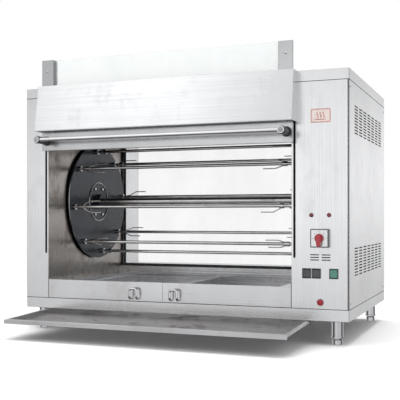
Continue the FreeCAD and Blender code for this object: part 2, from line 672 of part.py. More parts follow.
def sash(name, over, front, thick, rail, arm, arm_tall, lug):
    """A sash frame with its two arms and guide blocks, and its glass."""
    left = f"(pillar_wide - {over})"
    right = f"(2 * door_middle - {left})"
    back = (front, f"{front} + {thick}")
    top = "sash_rest + sash_tall"
    plate = block(f"{name}_plate", (left, right), back, ("sash_rest", top))
    sight = (f"{left} + stile", f"{right} - stile")
    open_part = block(f"{name}_sight", sight, (f"{front} - 1", f"{front} + {thick} + 1"),
                      (f"sash_rest + {rail}", f"{top} + 1"))
    middle = f"({front} + {thick} / 2)"
    held = (f"{sight[0]} - glass_grip", f"{sight[1]} + glass_grip")
    low = f"sash_rest + {rail} - glass_grip"
    groove = block(f"{name}_groove", (f"{held[0]} - glass_room", f"{held[1]} + glass_room"),
                   (f"{middle} - pane / 2 - glass_room", f"{middle} + pane / 2 + glass_room"),
                   (f"{low} - glass_room", f"{top} + 1"))
    glass = block(f"{name}_pane", held, (f"{middle} - pane / 2", f"{middle} + pane / 2"), (low, top))
    up = (f"sash_rest + {arm}", f"sash_rest + {arm} + {arm_tall}")
    bar = block(f"{name}_arm", ("slot_middle - arm_thick / 2", "slot_middle + arm_thick / 2"),
                (back[1], "block_front"), up)
    guide = block(f"{name}_block", ("slot_middle - block_wide / 2", "slot_middle + block_wide / 2"),
                  ("block_front", "block_front + block_deep"), up)
    tab = block(f"{name}_tab", ("slot_middle - arm_thick / 2", f"{left} + 5"), back, up)
    pieces = [bar, guide, tab]
    if lug:
        ear = block(f"{name}_lug", ("cable_across - 6", "slot_middle - block_wide / 2"),
                    ("block_front", "cable_back + 6"), (f"{up[0]} + 23", f"{up[0]} + 35"))
        pieces.append(ear)
    bore = rod(f"{name}_bore", "z", "rod_radius + run_room", f"{up[0]} - 1", f"{up[1]} + 1", "slot_middle",
               "rod_back")
    carrier = without(f"{name}_carrier", joined(f"{name}_carrier_solid", *pieces), bore)
    frame = without(f"{name}_open", plate, open_part, groove)
    whole = joined(f"{name}_frame", frame, carrier, right_copy(f"{name}_right", carrier))
    node(f"{name}_sash_frame", whole)
    node(f"{name}_sash_glass", glass)


def make_door():
    sash("lower", "sash_over", "lower_front", "lower_thick", "lower_rail", "lower_arm", "lower_arm_tall",
         True)
    sash("upper", "upper_over", "upper_front", "upper_thick", "upper_rail", "upper_arm", "upper_arm_tall",
         False)
    centre = "(sash_left + handle_in)"
    post = rod("mount_post", "y", "mount_radius", "-mount_end", "lower_front", centre, "handle_up")
    bore = rod("mount_bore", "x", "handle_radius + run_room", f"{centre} - 7", f"{centre} + 30",
               "-handle_out", "handle_up")
    mount = without("handle_mount", post, bore)
    node("handle_mounts", together("mounts", mount, right_copy("handle_mount_right", mount)))
    ends = (f"{centre} - 6.9", f"2 * door_middle - {centre} + 6.9")
    bar = rod("bar", "x", "handle_radius", ends[0], ends[1], "-handle_out", "handle_up")
    cap = rod("bar_cap", "y", "mount_radius - 1.5", "-mount_end - 3", "-mount_end", centre, "handle_up")
    node("handle_bar", together("bar_and_caps", bar, cap, right_copy("bar_cap_right", cap)))

    guide = rod("guide", "z", "rod_radius", "slot_low - rod_low", "tall - skin", "slot_middle", "rod_back")
    low = ("slot_low - stop_low", "slot_low - stop_half")
    sides = ("slot_middle - stop_half", "pillar_wide - skin")
    stop = block("guide_stop", sides, ("skin", "rod_back + stop_half"), low)
    rail = joined("guide_rail", guide, stop)
    pin_rod = rod("pulley_pin_rod", "x", "pulley_pin", "cable_across - pulley_wide / 2 - 5",
                  "cable_across + pulley_wide / 2 + 3", "pulley_back", "pulley_up")
    cheek = block("pulley_cheek",
                  ("cable_across - pulley_wide / 2 - 5", "cable_across - pulley_wide / 2 - 2"),
                  ("pulley_back - 10", "pulley_back + 10"), ("pulley_up - 12", "tall - skin"))
    bracket = joined("pulley_bracket", cheek, pin_rod)
    left = together("left_guides", rail, bracket)
    node("door_guides", together("guides", left, right_copy("right_guides", left)))

    wheel = body_at("pulley", "cable_across - pulley_wide / 2", "pulley_back", "pulley_up")
    groove = "pulley_radius - cable_radius - 0.3"
    half = "pulley_wide / 2"
    bore = "pulley_pin + run_room"
    outline = [("0", bore), ("0", "pulley_rim"), ("1.5", "pulley_rim"), (f"{half} - 2.2", groove),
               (f"{half} + 2.2", groove), ("pulley_wide - 1.5", "pulley_rim"), ("pulley_wide", "pulley_rim"),
               ("pulley_wide", bore)]
    turned(wheel, "XZ_Plane", outline, "H_Axis")
    node("pulley_left", wheel)
    node("pulley_right", right_copy("pulley_copy", wheel))

    middle = ("pulley_back + pulley_radius")
    side = ("cable_across - weight_wide + 10", "cable_across + 10")
    weight = block("weight", side, (f"{middle} - weight_wide / 2", f"{middle} + weight_wide / 2"),
                   ("weight_rest", "weight_rest + weight_tall"))
    node("counterweight_left", weight)
    node("counterweight_right", right_copy("weight_copy", weight))

    front = rod("cable_front", "z", "cable_radius", "sash_rest + lower_arm + 35", "pulley_up", "cable_across",
                "cable_back")
    rear = rod("cable_rear", "z", "cable_radius", "weight_rest + weight_tall", "pulley_up", "cable_across",
               middle)
    over = doc.addObject("Part::Torus", "cable_over")
    over.setExpression("Radius1", bound("pulley_radius"))
    over.setExpression("Radius2", bound("cable_radius"))
    over.Angle3 = 180
    over.Placement = FreeCAD.Placement(Vector(), Rotation(Vector(0, 1, 0), Vector(0, 0, 1), Vector(1, 0, 0)))
    locate(over, "cable_across", "pulley_back", "pulley_up")
    cable = joined("cable", front, over, rear)
    node("sash_cables", together("cables", cable, right_copy("cable_right", cable)))


def gear_face_outline(teeth, module, addendum, root, slack, first):
    """A gear's flat face about the origin, with involute flanks and a tooth at angle first."""
    pressure = math.radians(25)
    pitch = module * teeth / 2
    base = pitch * math.cos(pressure)
    tip = pitch + addendum
    low = pitch - root
    flank_start = max(base, low)
    half_tooth = math.pi / (2 * teeth) - slack / (2 * pitch)

    def half_angle(radius):
        roll = math.acos(min(1, base / radius))
        return half_tooth + (math.tan(pressure) - pressure) - (math.tan(roll) - roll)

    steps = 4
    radii = [flank_start + (tip - flank_start) * step / steps for step in range(steps + 1)]
    points = []
    for tooth in range(teeth):
        middle = math.radians(first) + 2 * math.pi * tooth / teeth
        rising = [(radius, middle - half_angle(radius)) for radius in radii]
        falling = [(radius, middle + half_angle(radius)) for radius in reversed(radii)]
        foot = [(low, middle - half_angle(flank_start))] if low < flank_start else []
        heel = [(low, middle + half_angle(flank_start))] if low < flank_start else []
        for radius, angle in foot + rising + falling + heel:
            points.append(Vector(0, radius * math.cos(angle), radius * math.sin(angle)))
    return Part.Face(Part.makePolygon(points + points[:1]))


def make_rotor():
    long = ("pillar_wide - skin - bearing_long", "right_edge + shaft_out")
    shaft = rod("rotor_rod", "x", "shaft_radius", long[0], long[1], "rotor_back", "rotor_up")
    node("rotor_shaft", shaft)
    for label, face, outward in (("left", "left_disc", -1), ("right", "right_disc", 1)):
        disc = body_at(f"disc_{label}", face, "rotor_back", "rotor_up")
        inner = "disc_thick" if outward < 0 else "0"
        outer = "0" if outward < 0 else "disc_thick"
        whole = circle("0", "0", "disc_radius")
        bore = circle("0", "0", "shaft_radius")
        pad(disc, "YZ_Plane", [whole, bore], "disc_thick")
        rim = [whole, circle("0", "0", "disc_radius - disc_thick")]
        rim_long = "disc_rim" if outward < 0 else "3"
        pad(disc, "YZ_Plane", rim, rim_long, offset=outer, backwards=outward < 0)
        hub = [circle("0", "0", "hub_radius"), bore]
        pad(disc, "YZ_Plane", hub, "hub_long", offset=inner, backwards=outward > 0)
        spot = circle("orbit * cos(spit_angle)", "orbit * sin(spit_angle)", "spit_radius + run_room")
        hole = pocket(disc, "YZ_Plane", [spot])
        doc.recompute()
        ring = disc.newObject("PartDesign::PolarPattern", f"holes_{label}")
        ring.Originals = [hole]
        ring.Axis = (hole.Profile[0], ["N_Axis"])
        ring.Angle = 360
        ring.Occurrences = 8
        disc.Tip = ring
        node(f"rotor_disc_{label}", disc)

    module = number("gear_module")
    thick = number("gear_thick")
    origin = Vector(*(number(text) for text in corner))
    axis = origin + Vector(number("gear_face"), number("rotor_back"), number("rotor_up"))
    sun = gear_face_outline(int(number("sun_teeth")), module, 0.6 * module, 0.85 * module, 0.3,
                            number("spit_angle"))
    ring = sun.extrude(Vector(thick, 0, 0))
    ring.translate(axis)
    sun_solid = doc.addObject("Part::Feature", "sun_teeth_ring")
    sun_solid.Shape = ring
    lightening = []
    for step in range(6):
        angle = f"{step} * 60"
        lightening.append(rod(f"sun_hole{step}", "x", "sun_hole", "gear_face - 1",
                              "gear_face + gear_thick + 1", f"rotor_back + sun_hole_out * cos({angle})",
                              f"rotor_up + sun_hole_out * sin({angle})"))
    boss = rod("sun_mount", "x", "sun_boss", "gear_face + gear_thick", "right_edge", "rotor_back", "rotor_up")
    bore = rod("sun_bore", "x", "hub_radius + 8", "gear_face - 1", "right_edge + 1", "rotor_back",
               "rotor_up")
    node("sun_gear", without("sun", joined("sun_solid", sun_solid, boss), bore, *lightening))

    left = rod("bearing_left", "x", "bearing_radius", "pillar_wide - skin - bearing_long",
               "pillar_wide - skin", "rotor_back", "rotor_up")
    right = rod("bearing_right", "x", "bearing_radius", "right_edge + skin",
                "right_edge + skin + bearing_long", "rotor_back", "rotor_up")
    room = rod("bearing_bore", "x", "shaft_radius + run_room", "0", "wide", "rotor_back", "rotor_up")
    node("shaft_bearings", together("bearings", without("left_bearing", left, room),
                                    without("right_bearing", right, room)))

    across = ("gearbox_left", "gearbox_left + box_wide")
    back = ("rotor_back - box_half", "rotor_back + box_half")
    case = block("gearbox", across, back, ("rotor_up - box_half", "rotor_up + box_half"))
    middle = ("gearbox_left + box_wide / 2", "rotor_up")
    motor = rod("motor", "y", "motor_radius", back[1], f"{back[1]} + motor_long", *middle)
    cover = rod("motor_cover", "y", "motor_cap", f"{back[1]} + motor_long",
                f"{back[1]} + motor_long + motor_cap_long", *middle)
    across = ("right_edge + skin", "gearbox_left")
    foot = block("gearbox_foot", across, back, ("rotor_up - box_half", "rotor_up - box_half + box_foot"))
    top = block("gearbox_top", across, back, ("rotor_up + box_half - box_foot", "rotor_up + box_half"))
    hole = rod("gearbox_bore", "x", "shaft_radius + run_room", "0", "wide", "rotor_back", "rotor_up")
    node("gearmotor", without("drive", joined("drive_solid", case, motor, cover, foot, top), hole))


def make_spits():
    middle = ("rotor_back", "rotor_up")
    left_in = "(left_disc + disc_thick)"
    rod_solid = rod("spit_rod", "x", "spit_radius", "left_disc - disc_rim + 1",
                    "gear_face + gear_thick + 2", *middle)
    pieces = [rod_solid]
    for tag, start in (("a", f"{left_in} + 1"), ("b", "right_disc - 1 - collar_long")):
        pieces.append(rod(f"collar_{tag}", "x", "collar_radius", start, f"{start} + collar_long", *middle))
    for tag, start, way in (("a", f"({left_in} + fork_in)", 1), ("b", "(right_disc - fork_in)", -1)):
        ends = (start, f"{start} + 16") if way > 0 else (f"{start} - 16", start)
        pieces.append(rod(f"fork_{tag}_hub", "x", "fork_hub", *ends, *middle))
        for side in (-1, 1):
            up = f"rotor_up + {side} * "
            line = [(f"{start} + {way} * 8", "rotor_back", f"{up} 5"),
                    (f"{start} + {way} * 14", "rotor_back", f"{up} 9"),
                    (f"{start} + {way} * 40", "rotor_back", f"{up} fork_reach"),
                    (f"{start} + {way} * 85", "rotor_back", f"{up} fork_reach")]
            pieces.append(bent_rod(f"fork_{tag}_prong{side + 2}", line, number("prong_radius"), 8))
    teeth = int(number("planet_teeth"))
    module = number("gear_module")
    outline = gear_face_outline(teeth, module, 0.6 * module, 0.85 * module, 0.3, 180 / teeth)
    pinion = outline.extrude(Vector(number("gear_thick"), 0, 0))
    origin = Vector(*(number(text) for text in corner))
    axis = origin + Vector(number("gear_face"), number("rotor_back"), number("rotor_up"))
    pinion.translate(axis)
    wheel = doc.addObject("Part::Feature", "pinion")
    wheel.Shape = pinion
    pieces.append(wheel)
    master = joined("spit_master", *pieces)
    doc.recompute()
    shape = master.Shape.copy()
    shape.translate(-axis)
    shape = Part.makeCompound([shape])
    for count in range(8):
        spit = doc.addObject("Part::Feature", f"spit{count + 1}")
        spit.Shape = shape.copy()
        angle = f"(spit_angle + {45 * count})"
        turn = Rotation(Vector(1, 0, 0), number(angle))
        spit.Placement = FreeCAD.Placement(Vector(), turn)
        locate(spit, "gear_face", f"rotor_back + orbit * cos({angle})", f"rotor_up + orbit * sin({angle})")
        node(f"spit_{count + 1}", spit)


def make_heaters():
    hairpins = []
    for step in range(3):
        front = f"(rotor_back - heater_front + {step} * heater_step)"
        rear = f"({front} + heater_pitch)"
        near = "right_edge - heater_plug_long / 2"
        far = "pillar_wide + heater_short"
        line = [(near, front, "heater_up"), (far, front, "heater_up"), (far, rear, "heater_up"),
                (near, rear, "heater_up")]
        tube = bent_rod(f"heater{step}", line, number("heater_radius"), number("heater_pitch") / 2 - 1)
        ends = [rod(f"heater{step}_end{side}", "x", "heater_plug", "right_edge - heater_plug_long",
                    "right_edge", back, "heater_up") for side, back in enumerate((front, rear))]
        hairpins.append(joined(f"hairpin{step}", tube, *ends))
    node("heating_elements", together("heaters", *hairpins))


def make_pans():
    split = "door_middle"
    sides = (("left", ("pillar_wide + pan_gap", f"{split} - pan_gap / 2"),
              ("well_left + pan_room", f"{split} - pan_room"), "(door_middle - left_grip_in)"),
             ("right", (f"{split} + pan_gap / 2", "right_edge - pan_gap"),
              (f"{split} + pan_room", "well_right - pan_room"), "(door_middle + right_grip_in)"))
    for label, face, tub, grip in sides:
        front = block(f"pan_{label}_face", face, ("0", "skin"), ("band_tall + pan_gap", "pan_top"))
        lip = block(f"pan_{label}_lip", tub, ("skin", "12"), ("pan_top - skin", "pan_top"))
        outer = block(f"pan_{label}_tub", tub, ("skin", "well_rear - pan_room"),
                      ("band_tall + tub_lift", "tub_top"))
        inner = block(f"pan_{label}_well", (f"{tub[0]} + skin", f"{tub[1]} - skin"),
                      ("2 * skin", "well_rear - pan_room - skin"),
                      ("band_tall + tub_lift + skin", "tub_top + 1"))
        tray = joined(f"pan_{label}", without(f"pan_{label}_hollow", outer, inner), front, lip)
        node(f"drip_pan_{label}", tray)
        legs = (f"{grip} - grip_wide / 2", f"{grip} + grip_wide / 2")
        line = [(legs[0], "0", "grip_low"), (legs[0], "-grip_out", "grip_low"),
                (legs[0], "-grip_out", "grip_high"), (legs[1], "-grip_out", "grip_high"),
                (legs[1], "-grip_out", "grip_low"), (legs[1], "0", "grip_low")]
        node(f"pan_handle_{label}", bent_rod(f"grip_{label}", line, number("grip_radius"), 9))


def slope(body):
    """Tilts a body about the casing's front edge by the tray's slope."""
    body.Placement = FreeCAD.Placement(Vector(), Rotation(Vector(1, 0, 0), number("tray_slope")))
    body.setExpression("Placement.Rotation.Angle", bound("tray_slope"))
    locate(body, "0", "0", "-tray_drop")


def make_tray():
    right = "tray_edge"
    rear = "(tray_deep - tray_out)"
    tray = body_at("tray")
    slope(tray)
    rim = rectangle(("tray_left", "-tray_out"), (right, rear))
    tub = rectangle(("tray_left + tray_rim", "-tray_out + tray_rim"),
                    (f"{right} - tray_rim", f"{rear} - tray_rim"))
    wall = "(tray_rim + skin)"
    well = rectangle((f"tray_left + {wall}", f"-tray_out + {wall}"),
                     (f"{right} - {wall}", f"{rear} - {wall}"))
    pad(tray, "XY_Plane", [tub], "tray_tall", backwards=True)
    pad(tray, "XY_Plane", [rim], "skin", backwards=True)
    face = [("-tray_out", "0"), ("-tray_out", "-tray_tall"), ("-tray_out + skin", "-tray_tall"),
            ("-tray_out + skin", "0")]
    pad(tray, "YZ_Plane", [face], f"{right} - tray_left", offset="tray_left")
    pocket(tray, "XY_Plane", [well], length="tray_tall - skin")
    node("serving_tray", tray)

    rails = []
    for label, edge, way in (("left", "tray_left", 1), ("right", right, -1)):
        rail = body_at(f"runner_{label}")
        slope(rail)
        high = "skin + runner_room_high"
        low = "-tray_tall - runner_low"

        def at(inward):
            return f"{edge} + {way} * ({inward})"

        web = "(-runner_room - runner_web)"
        section = [(at(web), low), (at("-runner_room"), low), (at("-runner_room"), "-skin - 2.5"),
                   (at("tray_rim - 2"), "-skin - 2.5"), (at("tray_rim - 2"), "-skin - 0.5"),
                   (at("-runner_room"), "-skin - 0.5"), (at("-runner_room"), "runner_room_high"),
                   (at("tray_rim - 2"), "runner_room_high"), (at("tray_rim - 2"), high), (at(web), high)]
        pad(rail, "XZ_Plane", [section], "tray_deep", offset="-skin - runner_back", backwards=True)
        rails.append(rail)
    node("tray_runners", together("runners", *rails))


def domed(name, radius, proud, across, up, stem, stem_long, skirt="0"):
    """A round cap with a domed front, a skirt behind the panel's face and a stem behind that."""
    cap = body_at(name, across, "0", up)
    shoulder = f"({proud}) * 0.4"
    outline = [("0", f"-({proud})")]
    for angle in (18, 36, 54, 72, 90):
        outline.append((f"({radius}) * sin({angle})",
                        f"-({shoulder}) - (({proud}) - {shoulder}) * cos({angle})"))
    outline += [(radius, skirt), (stem, skirt), (stem, stem_long), ("0", stem_long)]
    turned(cap, "XY_Plane", outline)
    return cap


def make_controls():
    node("badge_plate", block("badge", ("badge_middle - badge_wide / 2", "badge_middle + badge_wide / 2"),
                              ("-badge_thick", "0"),
                              ("badge_up - badge_tall / 2", "badge_up + badge_tall / 2")))
    lamps = [domed(f"lamp{side}", "lamp_radius", "lamp_proud", f"switch_axis + {side} * lamp_apart / 2",
                   "lamp_up", "lamp_stem", "lamp_long") for side in ("-1", "1")]
    node("pilot_lamps", together("lamps", *lamps))

    across = ("switch_axis - plate_size / 2", "switch_axis + plate_size / 2")
    up = ("switch_up - plate_size / 2", "switch_up + plate_size / 2")
    body = block("switch_body", across, ("-plate_proud", "0"), up)
    plate = block("switch_face", (f"{across[0]} + plate_in", f"{across[1]} - plate_in"),
                  ("-plate_proud - skin", "-plate_proud"), (f"{up[0]} + plate_in", f"{up[1]} - plate_in"))
    bore = rod("switch_bore", "y", "knob_stem + run_room", "-plate_proud - skin - 1", "1", "switch_axis",
               "switch_up")
    node("switch_plate", together("switch_front", without("switch_case", body, bore),
                                  without("switch_cover", plate, bore)))
    knob = body_at("knob", "switch_axis", "0", "switch_up")
    front = "plate_proud + skin + knob_room"
    pad(knob, "XZ_Plane", [circle("0", "0", "knob_radius")], "knob_thick", offset=front)
    grip = [("-7", "12"), ("-8", "-12"), ("-5", "-knob_grip"), ("5", "-knob_grip"), ("8", "-12"), ("7", "12")]
    pad(knob, "XZ_Plane", [grip], "knob_proud - knob_thick / 2", offset=f"{front} + knob_thick / 2")
    pad(knob, "XZ_Plane", [circle("0", "0", "knob_stem")], f"{front} + knob_in", offset="-knob_in")
    node("switch_knob", knob)

    bezels = []
    for count, centre in enumerate(rocker_places, 1):
        across = (f"{centre} - bezel_wide / 2", f"{centre} + bezel_wide / 2")
        up = ("rocker_up - bezel_tall / 2", "rocker_up + bezel_tall / 2")
        flange = block(f"bezel{count}_flange", across, ("-bezel_proud", "0"), up)
        sleeve = block(f"bezel{count}_sleeve", (f"{across[0]} + bezel_lip", f"{across[1]} - bezel_lip"),
                       ("0", "bezel_deep"), (f"{up[0]} + bezel_lip", f"{up[1]} - bezel_lip"))
        cap = (f"{centre} - rocker_wide / 2", f"{centre} + rocker_wide / 2")
        mouth = block(f"bezel{count}_mouth", (f"{cap[0]} - rocker_room", f"{cap[1]} + rocker_room"),
                      ("-bezel_proud - 1", "rocker_deep + rocker_radius + rocker_room"),
                      ("rocker_up - rocker_radius - rocker_room", "rocker_up + rocker_radius + rocker_room"))
        bezels.append(without(f"bezel{count}", joined(f"bezel{count}_solid", flange, sleeve), mouth))
        drum = rod(f"rocker{count}_drum", "x", "rocker_radius", *cap, "rocker_deep", "rocker_up")
        # a slab wider and taller than the drum, tilted about its pivot, leaves the cap's two faces
        slab = doc.addObject("Part::Box", f"rocker{count}_slab")
        slab.setExpression("Length", bound("2 * bezel_wide"))
        slab.setExpression("Width", bound("rocker_thick"))
        slab.setExpression("Height", bound("2 * bezel_tall"))
        slab.Placement = FreeCAD.Placement(Vector(), Rotation(Vector(1, 0, 0), number("rocker_tilt")))
        slab.setExpression("Placement.Rotation.Angle", bound("rocker_tilt"))
        locate(slab, f"{centre} - bezel_wide",
               "rocker_deep - rocker_face * cos(rocker_tilt) + bezel_tall * sin(rocker_tilt)",
               "rocker_up - bezel_tall * cos(rocker_tilt) - rocker_face * sin(rocker_tilt)")
        node(f"rocker_{count}", shared(f"rocker{count}", drum, slab))
    node("rocker_bezels", together("bezels", *bezels))
    node("reset_button", domed("button", "button_radius", "button_proud", "switch_axis", "button_up",
                               "button_stem", "button_long", "button_skirt"))

    nut = body_at("gland", "right_edge + gland_across", "deep", "gland_up")
    six = [(f"gland_nut * cos({60 * step})", f"gland_nut * sin({60 * step})") for step in range(6)]
    pad(nut, "XZ_Plane", [six], "gland_nut_long", backwards=True)
    pad(nut, "XZ_Plane", [circle("0", "0", "gland_collar")], "gland_out", backwards=True)
    pad(nut, "XZ_Plane", [circle("0", "0", "gland_thread")], "gland_in")
    pocket(nut, "XZ_Plane", [circle("0", "0", "gland_bore")])
    node("cable_gland", nut)


def make_screws():
    heads = []
    sides = (("wide", "wide + screw_proud"), ("-screw_proud", "0"))
    for up in ("band_tall + screw_in", "roof_under - screw_in"):
        for across in ("screw_in", "wide / 2", "wide - screw_in"):
            name = f"screw{len(heads)}"
            heads.append(rod(name, "y", "screw_radius", "deep", "deep + screw_proud", across, up))
        for back in ("screw_in", "deep - screw_in"):
            for side in sides:
                heads.append(rod(f"screw{len(heads)}", "x", "screw_radius", *side, back, up))
    node("panel_screws", together("screws", *heads))


make_stand()
make_casing()
make_rear()
make_liners()
make_hood()
make_door()
make_rotor()
make_spits()
make_heaters()
make_pans()
make_tray()
make_controls()
make_screws()

doc.recompute()
faults = [item.Name for item in doc.Objects if {"Invalid", "Error"} & set(item.State)]
for label, item in nodes.items():
    if item.Shape.isNull() or not item.Shape.isValid() or not item.Shape.Solids:
        faults.append(label)
if faults:
    raise RuntimeError(f"these objects failed: {faults}")
for label, item in nodes.items():
    item.Shape.exportStep(f"parts/{label}.step")
print(f"{len(nodes)} sub-parts written")
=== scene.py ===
from math import cos, pi, radians, sin

import bmesh
import bpy
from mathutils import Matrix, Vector


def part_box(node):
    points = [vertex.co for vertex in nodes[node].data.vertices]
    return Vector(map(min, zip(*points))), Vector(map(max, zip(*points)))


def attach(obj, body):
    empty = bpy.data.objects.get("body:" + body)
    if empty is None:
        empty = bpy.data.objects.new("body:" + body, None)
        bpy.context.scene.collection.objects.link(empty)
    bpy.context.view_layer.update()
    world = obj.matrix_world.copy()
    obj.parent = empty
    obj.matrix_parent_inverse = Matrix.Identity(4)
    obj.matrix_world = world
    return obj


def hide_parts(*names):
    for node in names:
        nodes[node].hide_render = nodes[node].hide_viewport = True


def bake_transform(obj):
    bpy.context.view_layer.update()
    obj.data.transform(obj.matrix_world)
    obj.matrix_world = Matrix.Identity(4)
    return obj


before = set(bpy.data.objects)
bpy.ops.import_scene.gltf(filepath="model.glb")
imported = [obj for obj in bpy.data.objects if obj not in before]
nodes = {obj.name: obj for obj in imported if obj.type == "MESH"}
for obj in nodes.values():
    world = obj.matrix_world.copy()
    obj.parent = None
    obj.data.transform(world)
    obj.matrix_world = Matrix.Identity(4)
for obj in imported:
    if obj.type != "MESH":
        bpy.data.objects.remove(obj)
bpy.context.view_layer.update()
print("frame loaded")


class Flow:  # a socket that can be used in sums
    def __init__(self, board, socket):
        self.board = board
        self.socket = socket

    def reckon(self, operation, other, flipped=False):
        pair = (other, self) if flipped else (self, other)
        return self.board.add("ShaderNodeMath", {"operation": operation}, dict(enumerate(pair)))

    def __add__(self, other):
        return self.reckon("ADD", other)

    def __radd__(self, other):
        return self.reckon("ADD", other, True)

    def __sub__(self, other):
        return self.reckon("SUBTRACT", other)

    def __rsub__(self, other):
        return self.reckon("SUBTRACT", other, True)

    def __mul__(self, other):
        return self.reckon("MULTIPLY", other)

    def __rmul__(self, other):
        return self.reckon("MULTIPLY", other, True)


class Board:  # the shader nodes of one material or of the sky
    def __init__(self, owner, shader="Principled BSDF"):
        owner.use_nodes = True
        self.owner = owner
        self.tree = owner.node_tree
        self.shader = self.tree.nodes[shader]

    def feed(self, made, sockets):
        for key, value in sockets.items():
            target = made.inputs[key]
            if isinstance(value, Flow):
                self.tree.links.new(value.socket, target)
            else:
                target.default_value = value

    def add(self, kind, settings=None, sockets=None, out=0):
        made = self.tree.nodes.new(kind)
        for key, value in (settings or {}).items():
            if key == "stops":
                ramp = made.color_ramp
                while len(ramp.elements) < len(value):
                    ramp.elements.new(0.5)
                for element, (place, colour) in zip(ramp.elements, value):
                    element.position = place
                    element.color = colour
            else:
                setattr(made, key, value)
        self.feed(made, sockets or {})
        return Flow(self, made.outputs[out])

    def place(self, scale):
        spot = self.add("ShaderNodeTexCoord", out="Object")
        return self.add("ShaderNodeMapping", None, {"Vector": spot, "Scale": scale})

    def noise(self, scale, detail=3, rough=0.55):
        sockets = {"Vector": self.place(scale), "Scale": 1, "Detail": detail, "Roughness": rough}
        return self.add("ShaderNodeTexNoise", None, sockets)

    def spread(self, value, low, high, fromLow=0.3, fromHigh=0.7):
        return self.add("ShaderNodeMapRange", {"clamp": True},
                        {"Value": value, "From Min": fromLow, "From Max": fromHigh, "To Min": low,
                         "To Max": high})

    def blend(self, factor, first, second, way="MIX"):
        return self.add("ShaderNodeMix", {"data_type": "RGBA", "blend_type": way},
                        {0: factor, 6: first, 7: second}, 2)

    def toward(self, heading, aim):
        # how nearly a direction points along another
        return self.add("ShaderNodeVectorMath", {"operation": "DOT_PRODUCT"},
                        {0: heading, 1: aim}, "Value")

    def edges(self, radius):
        return self.add("ShaderNodeBevel", {"samples": 4}, {"Radius": radius})

    def bump(self, height, strength, distance, radius=0.0):
        sockets = {"Height": height, "Strength": strength, "Distance": distance}
        if radius:
            sockets["Normal"] = self.edges(radius)
        return self.add("ShaderNodeBump", None, sockets)


def rgba(*colour):
    return (*colour, 1.0)


grains = {"x": (2.5, 900, 900), "y": (900, 2.5, 900), "z": (900, 900, 2.5)}


grainDeep = 0.0002  # height of a fine grain, in metres


def tinted(board, cloud, look):
    # drifts between a look's light and dark colour
    return board.blend(board.spread(cloud, 0, 1), rgba(*look["light"]), rgba(*look["dark"]))


def steel(name, look):
    make = dict(cloud=(3.1, 3.1, 3.1), smear=(14, 14, 9), smearRough=0.65, dust=(0.52, 0.75),
                dustRough=0.25, swing=0.06, smoke=(0.060, 0.040, 0.030), smokeFull=0.9, wander=0.2)
    board = Board(bpy.data.materials.new(name))
    grain = board.noise(grains[look["grain"]], 2)
    cloud = board.noise(make["cloud"], 4)
    smear = board.noise(make["smear"], 5, make["smearRough"])
    dust = board.spread(smear, 0, look["smear"], *make["dust"])
    stained = board.blend(dust, tinted(board, cloud, look), rgba(*look["stain"]))
    lined = board.blend(board.spread(grain, 0, look["lining"]), stained, rgba(*look["dark"]))
    if "soot" in look:
        # smoke darkens the steel towards the ceiling
        spot = board.add("ShaderNodeTexCoord", out="Object")
        up = board.add("ShaderNodeSeparateXYZ", None, {"Vector": spot}, 2)
        height = up + (smear - 0.5) * make["wander"]
        smoke = board.spread(height, 0, make["smokeFull"], *look["soot"])
        lined = board.blend(smoke, lined, rgba(*make["smoke"]))
    low, high = look["rough"] - make["swing"], look["rough"] + make["swing"]
    board.feed(board.shader, {
        "Base Color": lined,
        "Metallic": 1.0,
        "Roughness": board.spread(grain, low, high) + dust * make["dustRough"],
        "Normal": board.bump(grain, look["relief"], grainDeep, look["edge"]),
    })
    return board.owner


def plastic(name, look):
    make = dict(pitting=(900, 900, 900), cloud=(20, 20, 20), smoother=0.05, rougher=0.07,
                coatRough=0.08)
    board = Board(bpy.data.materials.new(name))
    pitting = board.noise(make["pitting"], 2)
    cloud = board.noise(make["cloud"], 3)
    low, high = look["rough"] - make["smoother"], look["rough"] + make["rougher"]
    board.feed(board.shader, {
        "Base Color": tinted(board, cloud, look),
        "Roughness": board.spread(cloud, low, high),
        "Normal": board.bump(pitting, look["relief"], grainDeep, look["edge"]),
        "Coat Weight": look["coat"],
        "Coat Roughness": make["coatRough"],
    })
    return board.owner


def glass(name, look):
    make = dict(film=(6, 6, 3), filmRough=0.6, rough=(0.02, 0.09), thicker=0.05, gloss=0.6)
    board = Board(bpy.data.materials.new(name))
    film = board.noise(make["film"], 5, make["filmRough"])
    board.feed(board.shader, {
        "Base Color": tinted(board, film, look),
        "Roughness": board.spread(film, *make["rough"]),
        "Alpha": board.spread(film, look["thin"], look["thin"] + make["thicker"]),
        "Specular IOR Level": make["gloss"],
    })
    return board.owner


def iron(name, look):
    make = dict(sand=(420, 420, 420), sandRough=0.6, cloud=(9, 9, 9), worn=(0.45, 0.7),
                wornRough=0.18, deep=0.0006)
    board = Board(bpy.data.materials.new(name))
    sand = board.noise(make["sand"], 4, make["sandRough"])
    cloud = board.noise(make["cloud"], 4)
    worn = board.spread(sand, 0, 1, *make["worn"])
    board.feed(board.shader, {
        "Base Color": tinted(board, cloud, look),
        "Metallic": look["metal"],
        "Roughness": look["rough"] + worn * make["wornRough"],
        "Normal": board.bump(sand, look["relief"], make["deep"], look["edge"]),
    })
    return board.owner


